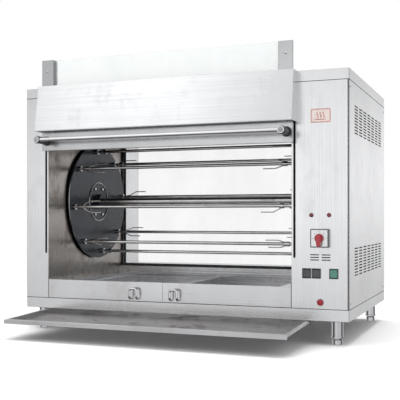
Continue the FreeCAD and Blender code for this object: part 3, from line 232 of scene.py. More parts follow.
steelLooks = {
    "casingSteel": dict(grain="x", light=(0.80, 0.805, 0.81), dark=(0.70, 0.705, 0.71),
                        stain=(0.64, 0.64, 0.65), smear=0.25, lining=0.24, rough=0.24, relief=0.10,
                        edge=0.0015),
    "uprightSteel": dict(grain="z", light=(0.80, 0.805, 0.81), dark=(0.70, 0.705, 0.71),
                         stain=(0.64, 0.64, 0.65), smear=0.25, lining=0.24, rough=0.24, relief=0.10,
                         edge=0.0015),
    "linerSteel": dict(grain="z", light=(0.46, 0.44, 0.42), dark=(0.30, 0.275, 0.255),
                       stain=(0.19, 0.14, 0.10), smear=0.7, lining=0.3, rough=0.25, relief=0.12,
                       edge=0.001, soot=(0.62, 0.74)),
    "ceilingSteel": dict(grain="x", light=(0.20, 0.165, 0.135), dark=(0.10, 0.075, 0.055),
                         stain=(0.06, 0.04, 0.03), smear=0.7, lining=0.3, rough=0.34, relief=0.15,
                         edge=0.001),
    "sashSteel": dict(grain="z", light=(0.62, 0.63, 0.635), dark=(0.48, 0.49, 0.495),
                      stain=(0.45, 0.45, 0.46), smear=0.2, lining=0.25, rough=0.25, relief=0.10,
                      edge=0.0012),
    "railSteel": dict(grain="x", light=(0.66, 0.665, 0.67), dark=(0.52, 0.525, 0.53),
                      stain=(0.46, 0.46, 0.47), smear=0.2, lining=0.35, rough=0.25, relief=0.12,
                      edge=0.0006),
    "panSteel": dict(grain="x", light=(0.78, 0.785, 0.80), dark=(0.62, 0.625, 0.64),
                     stain=(0.45, 0.41, 0.36), smear=0.3, lining=0.2, rough=0.22, relief=0.12,
                     edge=0.001),
    "traySteel": dict(grain="x", light=(0.74, 0.74, 0.75), dark=(0.56, 0.56, 0.57),
                      stain=(0.42, 0.37, 0.31), smear=0.4, lining=0.2, rough=0.2, relief=0.12,
                      edge=0.001),
    # the tray floor's colour: baked-on stain together with painted shade in the tub
    "trayStainAndShade": dict(grain="x", light=(0.20, 0.18, 0.165), dark=(0.10, 0.085, 0.075),
                      stain=(0.06, 0.04, 0.03), smear=0.8, lining=0.3, rough=0.22, relief=0.15,
                      edge=0.0006),
    "brightSteel": dict(grain="x", light=(0.88, 0.88, 0.89), dark=(0.78, 0.78, 0.79),
                        stain=(0.70, 0.70, 0.70), smear=0.1, lining=0.1, rough=0.10, relief=0.03,
                        edge=0.0006),
    "rodSteel": dict(grain="x", light=(0.74, 0.74, 0.74), dark=(0.56, 0.55, 0.54),
                     stain=(0.36, 0.30, 0.25), smear=0.35, lining=0.2, rough=0.2, relief=0.08,
                     edge=0.0005),
    "footSteel": dict(grain="z", light=(0.80, 0.80, 0.81), dark=(0.62, 0.62, 0.64),
                      stain=(0.45, 0.45, 0.46), smear=0.2, lining=0.2, rough=0.12, relief=0.05,
                      edge=0.001),
    "heaterSteel": dict(grain="x", light=(0.30, 0.27, 0.25), dark=(0.16, 0.14, 0.13),
                        stain=(0.34, 0.24, 0.17), smear=0.6, lining=0.2, rough=0.42, relief=0.12,
                        edge=0.0005),
}
plasticLooks = {
    "sealRubber": dict(light=(0.030, 0.030, 0.032), dark=(0.016, 0.016, 0.018), rough=0.62,
                       relief=0.25, edge=0.0003, coat=0.0),
    "seamShade": dict(light=(0.055, 0.057, 0.060), dark=(0.030, 0.031, 0.033), rough=0.6,
                      relief=0.2, edge=0.0002, coat=0.0),
    "blackPlastic": dict(light=(0.040, 0.040, 0.043), dark=(0.024, 0.024, 0.027), rough=0.42,
                         relief=0.2, edge=0.001, coat=0.1),
    "bezelGloss": dict(light=(0.030, 0.031, 0.034), dark=(0.018, 0.018, 0.020), rough=0.24,
                       relief=0.05, edge=0.0008, coat=0.5),
    "knobRed": dict(light=(0.36, 0.008, 0.020), dark=(0.26, 0.005, 0.014), rough=0.26, relief=0.05,
                    edge=0.0012, coat=0.5),
    "lampRed": dict(light=(0.20, 0.018, 0.014), dark=(0.12, 0.010, 0.010), rough=0.16, relief=0.03,
                    edge=0.0006, coat=0.8),
    "buttonRed": dict(light=(0.36, 0.010, 0.024), dark=(0.27, 0.006, 0.017), rough=0.3, relief=0.05,
                      edge=0.001, coat=0.4),
    "rockerGrey": dict(light=(0.075, 0.082, 0.088), dark=(0.05, 0.055, 0.06), rough=0.3,
                       relief=0.05, edge=0.0008, coat=0.4),
    "rockerGreen": dict(light=(0.085, 0.27, 0.215), dark=(0.06, 0.20, 0.16), rough=0.26,
                        relief=0.05, edge=0.0008, coat=0.6),
    "badgePlate": dict(light=(0.80, 0.70, 0.655), dark=(0.74, 0.635, 0.59), rough=0.35, relief=0.04,
                       edge=0.0003, coat=0.3),
    "badgeRed": dict(light=(0.56, 0.10, 0.085), dark=(0.46, 0.07, 0.06), rough=0.3, relief=0.04,
                     edge=0.0003, coat=0.3),
    "glandGrey": dict(light=(0.22, 0.22, 0.23), dark=(0.16, 0.16, 0.17), rough=0.45, relief=0.15,
                      edge=0.0008, coat=0.0),
    "capGrey": dict(light=(0.34, 0.345, 0.35), dark=(0.25, 0.255, 0.26), rough=0.3, relief=0.08,
                    edge=0.0006, coat=0.3),
}
ironLooks = {
    "discEnamel": dict(light=(0.036, 0.042, 0.058), dark=(0.018, 0.021, 0.030), metal=0.35,
                       rough=0.22, relief=0.05, edge=0.001),
    "castGrey": dict(light=(0.23, 0.24, 0.25), dark=(0.16, 0.165, 0.17), metal=0.3, rough=0.48,
                     relief=0.35, edge=0.0015),
    "gearSteel": dict(light=(0.40, 0.40, 0.41), dark=(0.28, 0.28, 0.29), metal=0.9, rough=0.30,
                      relief=0.1, edge=0.0005),
}
glassLooks = {
    "clearGlass": dict(light=(0.90, 0.95, 0.94), dark=(0.82, 0.89, 0.88), thin=0.10),
    "rearGlass": dict(light=(0.92, 0.95, 0.95), dark=(0.85, 0.90, 0.90), thin=0.03),
}
finishes = {}
for makeFinish, looks in ((steel, steelLooks), (plastic, plasticLooks), (iron, ironLooks),
                          (glass, glassLooks)):
    for finishName, look in looks.items():
        finishes[finishName] = makeFinish(finishName, look)
print("finishes made:", len(finishes))

nodeFinish = {
    "casingSteel": ["base_frame", "roof_panel", "hood", "rear_frame"],
    "uprightSteel": ["left_casing", "control_panel", "right_side_panel"],
    "linerSteel": ["left_liner", "right_liner"],
    "ceilingSteel": ["ceiling_liner"],
    "sashSteel": ["lower_sash_frame", "upper_sash_frame"],
    "panSteel": ["drip_pan_left", "drip_pan_right", "pan_ledge"],
    "traySteel": ["serving_tray"],
    "brightSteel": ["handle_bar", "pan_handle_left", "pan_handle_right", "door_guides",
                    "panel_screws"],
    "rodSteel": ["rotor_shaft", "sash_cables"] + [f"spit_{count}" for count in range(1, 9)],
    "footSteel": ["leg_tubes", "levelling_feet"],
    "heaterSteel": ["heating_elements"],
    "sealRubber": ["rear_glass_seal", "door_seals"],
    "blackPlastic": ["handle_mounts", "tray_runners", "pulley_left", "pulley_right"],
    "bezelGloss": ["switch_plate", "rocker_bezels"],
    "knobRed": ["switch_knob"],
    "buttonRed": ["reset_button"],
    "lampRed": ["pilot_lamps"],
    "rockerGrey": ["rocker_1", "rocker_2"],
    "rockerGreen": ["rocker_3"],
    "badgePlate": ["badge_plate"],
    "glandGrey": ["cable_gland"],
    "discEnamel": ["rotor_disc_left", "rotor_disc_right"],
    "castGrey": ["gearmotor", "counterweight_left", "counterweight_right"],
    "gearSteel": ["sun_gear", "shaft_bearings"],
    "clearGlass": ["lower_sash_glass", "upper_sash_glass"],
    "rearGlass": ["rear_glass"],
}
for finishName, names in nodeFinish.items():
    for name in names:
        slots = nodes[name].data.materials
        slots.clear()
        slots.append(finishes[finishName])
print("CAD nodes finished")


weldWithin = 1e-6  # points closer than this become one
sharpOver = 35  # degrees between faces that keep a crisp edge
pinRadius = 1e-5  # stands for a point on a lathe's axis


def piece(name, mesh, finish, body, smooth=True):
    made = bpy.data.meshes.new(name)
    bmesh.ops.remove_doubles(mesh, verts=mesh.verts, dist=weldWithin)
    bmesh.ops.recalc_face_normals(mesh, faces=mesh.faces)
    mesh.to_mesh(made)
    mesh.free()
    thing = bpy.data.objects.new(name, made)
    bpy.context.scene.collection.objects.link(thing)
    made.materials.append(finishes[finish])
    if smooth:
        for face in made.polygons:
            face.use_smooth = True
        made.set_sharp_from_angle(angle=radians(sharpOver))
    if body:
        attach(thing, body)
    return thing


def sweepRing(mesh, rings, closed=False):
    # joins rings of points of equal count into a skin
    made = [[mesh.verts.new(point) for point in ring] for ring in rings]
    pairs = list(zip(made, made[1:]))
    if closed:
        pairs.append((made[-1], made[0]))
    for low, high in pairs:
        for index in range(len(low)):
            after = (index + 1) % len(low)
            mesh.faces.new((low[index], low[after], high[after], high[index]))
    return made


def capEnds(mesh, made):
    mesh.faces.new(made[0])
    mesh.faces.new(list(reversed(made[-1])))


sideways = {"x": (1, 2, 0), "y": (2, 0, 1), "z": (0, 1, 2)}


def turn(axis, radius, along, angle):
    # a point at a radius and angle about a main axis
    spots = [0.0, 0.0, 0.0]
    first, second, third = sideways[axis]
    spots[first] = radius * cos(angle)
    spots[second] = radius * sin(angle)
    spots[third] = along
    return Vector(spots)


def lathe(mesh, centre, axis, profile, steps=24, flip=1):
    # profile: (radius, height) pairs from the axis outwards; height grows along the axis
    rings = []
    for radius, height in profile:
        radius = max(radius, pinRadius)
        rings.append([Vector(centre) + turn(axis, radius, height * flip, 2 * pi * step / steps)
                      for step in range(steps)])
    made = sweepRing(mesh, rings)
    capEnds(mesh, made)


def slab(mesh, low, high, ease=0.0):
    # a box between two corners, with its edges eased
    made = bmesh.ops.create_cube(mesh, size=1)["verts"]
    middle = (Vector(low) + Vector(high)) / 2
    size = Vector(high) - Vector(low)
    for vert in made:
        vert.co = Vector(vert.co[i] * size[i] + middle[i] for i in range(3))
    if ease:
        # each edge once, always in the same order
        edges = list(dict.fromkeys(edge for vert in made for edge in vert.link_edges))
        bmesh.ops.bevel(mesh, geom=edges, offset=ease, segments=2, profile=0.6,
                        affect="EDGES", clamp_overlap=True)


def tube(mesh, points, radius, steps=12, closed=False):
    # a round rod through points; rings stay square to the run
    count = len(points)
    rings = []
    side = None
    for index, point in enumerate(points):
        before = points[index - 1] if index or closed else points[0]
        after = points[(index + 1) % count] if index + 1 < count or closed else points[-1]
        heading = (Vector(after) - Vector(before)).normalized()
        if side is None:
            side = heading.orthogonal().normalized()
        side = (side - heading * side.dot(heading)).normalized()
        other = heading.cross(side)
        ring = []
        for step in range(steps):
            angle = 2 * pi * step / steps
            ring.append(Vector(point) + radius * (side * cos(angle) + other * sin(angle)))
        rings.append(ring)
    made = sweepRing(mesh, rings, closed)
    if not closed:
        capEnds(mesh, made)


def straight(start, end, steps):
    # evenly spaced points from one place to another
    return [tuple(low + (high - low) * step / steps for low, high in zip(start, end))
            for step in range(steps + 1)]


def roundedPath(width, height, corner, steps=5):
    # a closed rounded rectangle about the origin, as (across, up) pairs
    path = []
    for quarter in range(4):
        right = 1 if quarter in (0, 3) else -1
        top = 1 if quarter in (0, 1) else -1
        for step in range(steps + 1):
            angle = quarter * pi / 2 + step / steps * pi / 2
            path.append((right * (width / 2 - corner) + corner * cos(angle),
                         top * (height / 2 - corner) + corner * sin(angle)))
    return path


def panHead(mesh, centre, axis, radius, flip):
    # a domed screw head with a cross raised a hair above it
    look = dict(rise=0.55, reach=0.5, thick=0.11, crossRise=0.06, steps=20,
                dome=((0.0, 0.98), (0.35, 1.0), (0.7, 0.8), (0.95, 0.35), (1.0, 0.0)))
    rise = radius * look["rise"]
    profile = [(radius * out, rise * up) for out, up in look["dome"]]
    lathe(mesh, centre, axis, profile, look["steps"], flip)
    top = Vector(centre) + turn(axis, 0, rise * flip, 0)
    for turned in (0, 1):
        half = [radius * look["thick"]] * 3
        half[sideways[axis][turned]] = radius * look["reach"]
        half[sideways[axis][2]] = rise * look["crossRise"]
        slab(mesh, top - Vector(half), top + Vector(half))


box = {name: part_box(name) for name in nodes}
frontY = box["left_casing"][0].y
leftX = box["left_casing"][0].x
rightX = box["base_frame"][1].x
rearY = box["base_frame"][1].y
baseZ = box["base_frame"][0].z
bandZ = box["left_casing"][0].z  # top of the base band
capZ = box["left_casing"][1].z  # underside of the roof cap
openLeft = box["left_liner"][1].x
openRight = box["right_liner"][0].x
switchMiddle = (box["switch_plate"][0] + box["switch_plate"][1]) / 2


def makeScrews():
    look = dict(radius=0.0042, fromEdge=0.020, sashRadius=0.005, sashFromEdge=0.012,
                drops=(0.040, 0.150))
    edge = look["fromEdge"]
    heights = (bandZ + edge, capZ - edge)
    mesh = bmesh.new()
    for across in (leftX + edge, (leftX + rightX) / 2, rightX - edge):
        for up in heights:
            panHead(mesh, (across, rearY, up), "y", look["radius"], 1)
    for side, flip in ((leftX, -1), (rightX, 1)):
        for back in (frontY + edge, rearY - edge):
            for up in heights:
                panHead(mesh, (side, back, up), "x", look["radius"], flip)
    made = piece("panelScrewHeads", mesh, "brightSteel", "root")
    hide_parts("panel_screws")

    edge = look["sashFromEdge"]
    for which, body in (("lower_sash_frame", "lower_sash"), ("upper_sash_frame", "upper_sash")):
        mesh = bmesh.new()
        low, high = box[which]
        for across in (openLeft + edge, openRight - edge):
            for drop in look["drops"]:
                panHead(mesh, (across, low.y, high.z - drop), "y", look["sashRadius"], -1)
        piece(f"{body}Screws", mesh, "brightSteel", body)


def makeSeams():
    # the shadow lines where the sheets meet
    look = dict(wide=0.0021, proud=0.0003, cornerBack=0.008, cornerWide=0.7, abovePans=0.018)
    proud = look["proud"]
    half = look["wide"] / 2
    corner = look["cornerWide"] * half
    cornerY = frontY + look["cornerBack"]
    pillarEdge = box["left_casing"][1].x
    cabinetEdge = box["control_panel"][0].x
    seamTop = box["drip_pan_left"][1].z + look["abovePans"]
    front = frontY - proud
    back = frontY + proud
    mesh = bmesh.new()
    for left, right in ((leftX, pillarEdge), (cabinetEdge, rightX)):
        for up in (bandZ, capZ):
            slab(mesh, (left, front, up - half), (right, back, up + half))
    for side in (pillarEdge + half, cabinetEdge - half):
        slab(mesh, (side - half, front, bandZ), (side + half, back, seamTop))
    slab(mesh, (pillarEdge, front, bandZ - half), (cabinetEdge, back, bandZ))
    for side in (leftX, rightX):
        for up in (bandZ, capZ):
            slab(mesh, (side - proud, frontY, up - half), (side + proud, rearY, up + half))
    slab(mesh, (rightX - proud, cornerY - half, bandZ), (rightX + proud, cornerY + half, capZ))
    for up in (bandZ, capZ):
        slab(mesh, (leftX, rearY - proud, up - half), (rightX, rearY + proud, up + half))
    for foot, top in ((baseZ, bandZ), (capZ, box["roof_panel"][1].z)):
        slab(mesh, (rightX - corner, front, foot + half),
             (rightX + proud, frontY + corner, top - half))
    piece("casingSeams", mesh, "seamShade", "root", False)


def makeVents():
    # a thin pressed lip over every slot of the side panel, and a dark sheet behind each bank that
    # paints the shade inside the cabinet
    look = dict(
        banks=(0.141, 0.613), columns=7, rows=10, start=0.090, pitchBack=0.0823, pitchUp=0.0099,
        long=0.072, tall=0.004, lip=0.0012, lipOut=0.0008, lipSunk=0.0001, arc=4,
        lipRise=((0.0, 0.0), (0.004, 0.9), (0.012, 1.0)),
        cheek=0.0065, cheekDeep=0.0013, cheekProud=0.0001, cheekOver=0.0002,
        shadeIn=0.0042, shadeThick=0.0008, shadeOver=0.006, shadeEase=0.0003, bankEnd=0.010,
        louvreHalf=0.040, louvreFoot=0.190, louvreTop=0.226,
    )
    long, tall, cheek, over = look["long"], look["tall"], look["cheek"], look["cheekOver"]
    lipRise = list(look["lipRise"])
    lipRise += [(long - along, grow) for along, grow in reversed(lipRise)]
    mesh = bmesh.new()
    shadeScreens = bmesh.new()
    for bank in look["banks"]:
        for column in range(look["columns"]):
            for row in range(look["rows"]):
                start = frontY + look["start"] + column * look["pitchBack"]
                up = baseZ + bank + row * look["pitchUp"] + tall
                # the slot's ends are pressed shut
                for end in (start - over, start + long - cheek + over):
                    slab(mesh, (rightX - look["cheekDeep"], end, up - tall - over),
                         (rightX + look["cheekProud"], end + cheek, up + over), over)
                rings = []
                for along, grow in lipRise:
                    ring = []
                    for step in range(look["arc"] + 1):
                        angle = pi * step / look["arc"]
                        ring.append(mesh.verts.new((
                            rightX - look["lipSunk"] + look["lipOut"] * grow * sin(angle),
                            start + along,
                            up + look["lip"] * 0.5 * (1 + cos(angle)))))
                    rings.append(ring)
                for near, far in zip(rings, rings[1:]):
                    for step in range(look["arc"]):
                        mesh.faces.new((near[step], near[step + 1], far[step + 1], far[step]))
        # painted shade: a dark sheet behind each bank darkens the slots where the unlit inside
        # shows
        past = look["shadeOver"]
        inner = rightX - look["shadeIn"]
        front = frontY + look["start"]
        foot = baseZ + bank
        slab(shadeScreens, (inner - look["shadeThick"], front - past, foot - past),
             (inner, front + look["columns"] * look["pitchBack"] - look["bankEnd"] + past,
              foot + look["rows"] * look["pitchUp"] + past), look["shadeEase"])
    piece("sideVentLips", mesh, "uprightSteel", "root")
    # painted shade: the same kind of dark sheet behind the front louvre
    front = frontY + look["shadeIn"]
    slab(shadeScreens, (switchMiddle.x - look["louvreHalf"], front, baseZ + look["louvreFoot"]),
         (switchMiddle.x + look["louvreHalf"], front + look["shadeThick"],
          baseZ + look["louvreTop"]), look["shadeEase"])
    piece("ventShadeScreens", shadeScreens, "sealRubber", "root", False)


def makeLampRings():
    # a bright ring round each pilot lamp and round the button
    look = dict(
        lampUp=0.343, lampApart=0.029, buttonUp=0.060, steps=32,
        lamp=[(0.0066, 0.0), (0.0066, 0.0020), (0.0073, 0.0022), (0.0078, 0.0014), (0.0078, 0.0)],
        button=[(0.0104, 0.0), (0.0104, 0.0022), (0.0122, 0.0026), (0.0128, 0.0016), (0.0128, 0.0)],
    )
    mesh = bmesh.new()
    for side in (-1, 1):
        centre = (switchMiddle.x + side * look["lampApart"], frontY, baseZ + look["lampUp"])
        lathe(mesh, centre, "y", look["lamp"], look["steps"], -1)
    centre = (switchMiddle.x, frontY, baseZ + look["buttonUp"])
    lathe(mesh, centre, "y", look["button"], look["steps"], -1)
    piece("lampRings", mesh, "brightSteel", "root")


def makeBadgeMotif():
    # a border, and three rising waves of warmth over a bar
    look = dict(inset=0.002, corner=0.004, border=0.0009, line=0.0010, steps=8,
                waveApart=0.010, waveWide=0.0022, waveFoot=0.0075, waveRise=0.00115, waveSteps=16,
                barHalf=0.017, barDown=0.0125, barSteps=10)
    low, high = box["badge_plate"]
    middle = (low + high) / 2
    mesh = bmesh.new()
    path = roundedPath(high.x - low.x - 2 * look["inset"], high.z - low.z - 2 * look["inset"],
                       look["corner"])
    border = [(middle.x + across, low.y, middle.z + up) for across, up in path]
    tube(mesh, border, look["border"], look["steps"], True)
    for count in (-1, 0, 1):
        wave = []
        for step in range(look["waveSteps"] + 1):
            sway = look["waveWide"] * sin(step / look["waveSteps"] * 2 * pi)
            wave.append((middle.x + count * look["waveApart"] + sway, low.y,
                         middle.z - look["waveFoot"] + step * look["waveRise"]))
        tube(mesh, wave, look["line"], look["steps"])
    barZ = middle.z - look["barDown"]
    bar = straight((middle.x - look["barHalf"], low.y, barZ),
                   (middle.x + look["barHalf"], low.y, barZ), look["barSteps"])
    tube(mesh, bar, look["line"], look["steps"])
    piece("badgeMotif", mesh, "badgeRed", "root")


def makeSwitchTrim():
    # a bright face on the switch plate, with pairs of marks round the knob
    look = dict(inset=0.003, proud=0.0004, ease=0.0003, angles=(0, 45, 90, 135, 180),
                reaches=(0.0195, 0.0225), markOut=0.0007, steps=12,
                mark=[(0.0, 0.0004), (0.0009, 0.0004), (0.0010, 0.0)])
    low, high = box["switch_plate"]
    inset, proud = look["inset"], look["proud"]
    mesh = bmesh.new()
    slab(mesh, (low.x + inset, low.y - proud, low.z + inset),
         (high.x - inset, low.y + proud, high.z - inset), look["ease"])
    piece("switchFace", mesh, "casingSteel", "root", False)
    mesh = bmesh.new()
    for angle in look["angles"]:
        turned = radians(angle)
        for reach in look["reaches"]:
            spot = (switchMiddle.x + reach * cos(turned), low.y - look["markOut"],
                    switchMiddle.z + reach * sin(turned))
            lathe(mesh, spot, "y", look["mark"], look["steps"], -1)
    piece("switchTicks", mesh, "bezelGloss", "root")


def makeKnobGrip():
    # a row of small studs round the upper half of the knob
    look = dict(studs=24, first=20, sweep=140, reach=0.0137, back=0.0096, steps=8,
                stud=[(0.0, 0.0006), (0.0006, 0.0006), (0.0007, 0.0)])
    front = box["switch_knob"][0].y + look["back"]
    mesh = bmesh.new()
    for count in range(look["studs"]):
        angle = radians(look["first"] + count * look["sweep"] / (look["studs"] - 1))
        spot = (switchMiddle.x + look["reach"] * cos(angle), front,
                switchMiddle.z + look["reach"] * sin(angle))
        lathe(mesh, spot, "y", look["stud"], look["steps"], -1)
    piece("knobGrip", mesh, "knobRed", "knob")


def makeHoodHem():
    # the rolled lower edge of the hood
    look = dict(radius=0.0022, inset=0.001, segments=12, steps=12)
    low, high = box["hood"]
    back, up = low.y + look["radius"], low.z + look["radius"]
    mesh = bmesh.new()
    hem = straight((low.x + look["inset"], back, up), (high.x - look["inset"], back, up),
                   look["segments"])
    tube(mesh, hem, look["radius"], look["steps"])
    piece("hoodHem", mesh, "casingSteel", "root")


def makeSashTrim():
    # face sheet of the lower sash's bottom rail, and a bead round each glass
    look = dict(stile=0.047, rail=0.066, proud=0.0006, sunk=0.0002, inset=0.0008, ease=0.0003,
                bead=0.0010, grip=0.0082, beadOut=0.0006, beadDown=0.001, segments=8, steps=8)
    low, high = box["lower_sash_frame"]
    inset, side = look["inset"], look["stile"] + look["inset"]
    mesh = bmesh.new()
    slab(mesh, (low.x + side, low.y - look["proud"], low.z + inset),
         (high.x - side, low.y + look["sunk"], low.z + look["rail"] - inset), look["ease"])
    piece("lowerRailFace", mesh, "railSteel", "lower_sash", False)
    for which in ("lower", "upper"):
        low, high = box[f"{which}_sash_glass"]
        left, right = low.x + look["grip"], high.x - look["grip"]
        foot, top = low.z + look["grip"], high.z - look["beadDown"]
        path = [(left, top), (left, foot), (right, foot), (right, top)]
        mesh = bmesh.new()
        for face in (low.y - look["beadOut"], high.y + look["beadOut"]):
            for (startX, startZ), (endX, endZ) in zip(path, path[1:]):
                run = straight((startX, face, startZ), (endX, face, endZ), look["segments"])
                tube(mesh, run, look["bead"], look["steps"])
        piece(f"{which}GlassBead", mesh, "sashSteel", f"{which}_sash")


def makeLegNuts():
    # a lock nut on each levelling foot, and a collar where each leg meets the base band
    look = dict(
        fromEdge=0.047, nutUp=0.0185, nutSides=6, collarDown=0.004, collarSteps=40,
        nut=[(0.009, 0.0), (0.0150, 0.0), (0.0160, 0.0010), (0.0160, 0.0028), (0.0150, 0.0034),
             (0.009, 0.0034)],
        collar=[(0.0191, 0.0), (0.0235, 0.0), (0.0245, 0.0012), (0.0245, 0.0038), (0.0191, 0.0038)],
    )
    edge = look["fromEdge"]
    mesh = bmesh.new()
    for across in (leftX + edge, rightX - edge):
        for back in (frontY + edge, rearY - edge):
            lathe(mesh, (across, back, look["nutUp"]), "z", look["nut"], look["nutSides"])
            lathe(mesh, (across, back, baseZ - look["collarDown"]), "z", look["collar"],
                  look["collarSteps"])
    piece("legNuts", mesh, "footSteel", "root")


def makeHandleTrim():
    # black collars on the handle mounts, and a grey cap on each end of the bar
    look = dict(
        fromEnd=0.013, collarsBack=(0.004, 0.046), flangeBack=0.004, capBack=0.0002, steps=36,
        collar=[(0.0131, 0.0), (0.0138, 0.0006), (0.0138, 0.0024), (0.0131, 0.0030)],
        flange=[(0.0131, 0.0), (0.0165, 0.0), (0.0170, 0.0008), (0.0170, 0.0038), (0.0131, 0.0038)],
        cap=[(0.0, 0.0006), (0.0085, 0.0005), (0.0104, 0.0001), (0.0106, -0.0004), (0.0, -0.0006)],
    )
    low, high = box["handle_mounts"]
    up = (low.z + high.z) / 2
    ends = (low.x + look["fromEnd"], high.x - look["fromEnd"])
    mesh = bmesh.new()
    for across in ends:
        for back in look["collarsBack"]:
            lathe(mesh, (across, low.y + back, up), "y", look["collar"], look["steps"])
        lathe(mesh, (across, high.y - look["flangeBack"], up), "y", look["flange"], look["steps"])
    piece("handleCollars", mesh, "blackPlastic", "lower_sash")
    front = box["handle_bar"][0].y + look["capBack"]
    mesh = bmesh.new()
    for across in ends:
        lathe(mesh, (across, front, up), "y", look["cap"], look["steps"], -1)
    piece("handleCaps", mesh, "capGrey", "lower_sash")


def makeCables():
    # a straight run from the sash and from each counterweight up to its pulley, and the bend over
    # each pulley, which stays put
    look = dict(radius=0.0015, front=0.032, bend=0.030, step=0.020, armUp=0.132, arc=24, steps=10)
    bend = look["bend"]
    front = frontY + look["front"]
    rear = front + 2 * bend
    sashEnd = box["lower_sash_frame"][0].z + look["armUp"]
    bends = bmesh.new()
    for side in ("Left", "Right"):
        pulley = box[f"pulley_{side.lower()}"]
        weight = f"counterweight_{side.lower()}"
        middle = (pulley[0] + pulley[1]) / 2
        across, top = middle.x, middle.z
        for run, back, start, body in (("front", front, sashEnd, "lower_sash"),
                                       ("rear", rear, box[weight][1].z, f"{weight}_body")):
            mesh = bmesh.new()
            count = int((top - start) / look["step"])
            tube(mesh, straight((across, back, start), (across, back, top), count),
                 look["radius"], look["steps"])
            made = piece(f"{run}Cable{side}", mesh, "rodSteel", None)
            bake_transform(made)
        over = []
        for step in range(look["arc"] + 1):
            angle = pi * step / look["arc"]
            over.append((across, front + bend - bend * cos(angle), top + bend * sin(angle)))
        tube(bends, over, look["radius"], look["steps"])
    made = piece("cableBends", bends, "rodSteel", "root")
    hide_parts("sash_cables")


def makeRotorTrim():
    # bolts and a wire ring round each hub, and a wire rim on the left disc
    look = dict(bolts=6, boltReach=0.060, webIn=0.020, hubReach=0.078, hubOut=0.0012, hubSteps=96,
                rimReach=0.2285, rimBack=0.003, rimSteps=160, wire=0.0022, wireSteps=10,
                boltSides=6,
                bolt=[(0.0, 0.0042), (0.0050, 0.0042), (0.0058, 0.0034), (0.0058, 0.0)])
    shaft = box["rotor_shaft"]
    centreY = (shaft[0].y + shaft[1].y) / 2
    centreZ = (shaft[0].z + shaft[1].z) / 2
    leftWeb = box["rotor_disc_left"][1].x - look["webIn"]
    rightWeb = box["rotor_disc_right"][0].x + look["webIn"]

    def hoop(face, reach, count):
        # points round the rotor's own axis
        angles = [2 * pi * step / count for step in range(count)]
        return [(face, centreY + reach * cos(angle), centreZ + reach * sin(angle))
                for angle in angles]

    mesh = bmesh.new()
    for face, flip in ((leftWeb, 1), (rightWeb, -1)):
        for spot in hoop(face, look["boltReach"], look["bolts"]):
            lathe(mesh, spot, "x", look["bolt"], look["boltSides"], flip)
        tube(mesh, hoop(face + flip * look["hubOut"], look["hubReach"], look["hubSteps"]),
             look["wire"], look["wireSteps"], True)
    piece("hubBolts", mesh, "rodSteel", "rotor")
    mesh = bmesh.new()
    tube(mesh, hoop(leftWeb - look["rimBack"], look["rimReach"], look["rimSteps"]),
         look["wire"], look["wireSteps"], True)
    piece("discRim", mesh, "rodSteel", "rotor")


def makePanTrim():
    # a rolled bead round each drip pan's tub
    look = dict(fromLiner=0.067, halfGap=0.004, rimUp=0.086, narrower=0.002, shorter=0.006,
                corner=0.006, back=0.001, bead=0.0018, steps=8)
    middle = (openLeft + openRight) / 2
    side, gap = look["fromLiner"], look["halfGap"]
    tubs = (("drip_pan_left", "left_pan", openLeft + side, middle - gap),
            ("drip_pan_right", "right_pan", middle + gap, openRight - side))
    for which, body, left, right in tubs:
        low, high = box[which]
        centreX = (left + right) / 2
        centreY = (low.y + high.y) / 2 + look["back"]
        path = roundedPath(right - left - look["narrower"], high.y - low.y - look["shorter"],
                           look["corner"])
        rim = [(centreX + across, centreY + back, baseZ + look["rimUp"]) for across, back in path]
        mesh = bmesh.new()
        tube(mesh, rim, look["bead"], look["steps"], True)
        piece(f"{body}Bead", mesh, "panSteel", body)


def makeTrayTrim():
    # a rolled bead round the sloping rim, and a dark sheet on the tub's floor, part baked-on stain
    # and part painted shade
    look = dict(slope=2.0, drop=0.002, reach=0.272, rear=0.228, rim=0.010, corner=0.004,
                bead=0.0012, beadInset=0.0003, beadSteps=8,
                lipDown=0.0119, lipInset=0.001, lipRadius=0.0014, lipSegments=12, lipSteps=10,
                floor=0.0118, floorInset=0.0025, floorProud=0.0005, dish=0.0004, rows=12)
    low, high = box["serving_tray"]
    slope = radians(look["slope"])
    half = (high.x - low.x) / 2
    middle = (high.x + low.x) / 2
    shift = (look["rear"] - look["reach"]) / 2
    inner = 2 * half - 2 * look["rim"]
    long = look["rear"] + look["reach"] - 2 * look["rim"]

    def onTray(across, along, rise):
        return (middle + across, frontY + along * cos(slope) - rise * sin(slope),
                baseZ - look["drop"] + along * sin(slope) + rise * cos(slope))

    mesh = bmesh.new()
    path = roundedPath(inner - 2 * look["beadInset"], long - 2 * look["beadInset"], look["corner"])
    rim = [onTray(across, along + shift, 0.0) for across, along in path]
    tube(mesh, rim, look["bead"], look["beadSteps"], True)
    lipHalf = half - look["lipInset"]
    lipFront = look["lipRadius"] - look["reach"]
    lip = straight(onTray(-lipHalf, lipFront, -look["lipDown"]),
                   onTray(lipHalf, lipFront, -look["lipDown"]), look["lipSegments"])
    tube(mesh, lip, look["lipRadius"], look["lipSteps"])
    piece("trayBead", mesh, "traySteel", "tray")

    # the tub's floor dips a little between its edges
    mesh = bmesh.new()
    wide = inner - 2 * look["floorInset"]
    deep = long - 2 * look["floorInset"]
    rows, columns = look["rows"], 2 * look["rows"]
    grid = []
    for row in range(rows + 1):
        line = []
        for column in range(columns + 1):
            across = (column / columns - 0.5) * wide
            along = (row / rows - 0.5) * deep
            dip = look["dish"] * (1 - (2 * across / wide) ** 2) * (1 - (2 * along / deep) ** 2)
            rise = look["floorProud"] - look["floor"] - dip
            line.append(mesh.verts.new(onTray(across, along + shift, rise)))
        grid.append(line)
    for near, far in zip(grid, grid[1:]):
        for column in range(columns):
            mesh.faces.new((near[column], near[column + 1], far[column + 1], far[column]))
    # the floor sheet's dark colour is partly baked-on stain and partly painted shade
    piece("trayFloor", mesh, "trayStainAndShade", "tray")


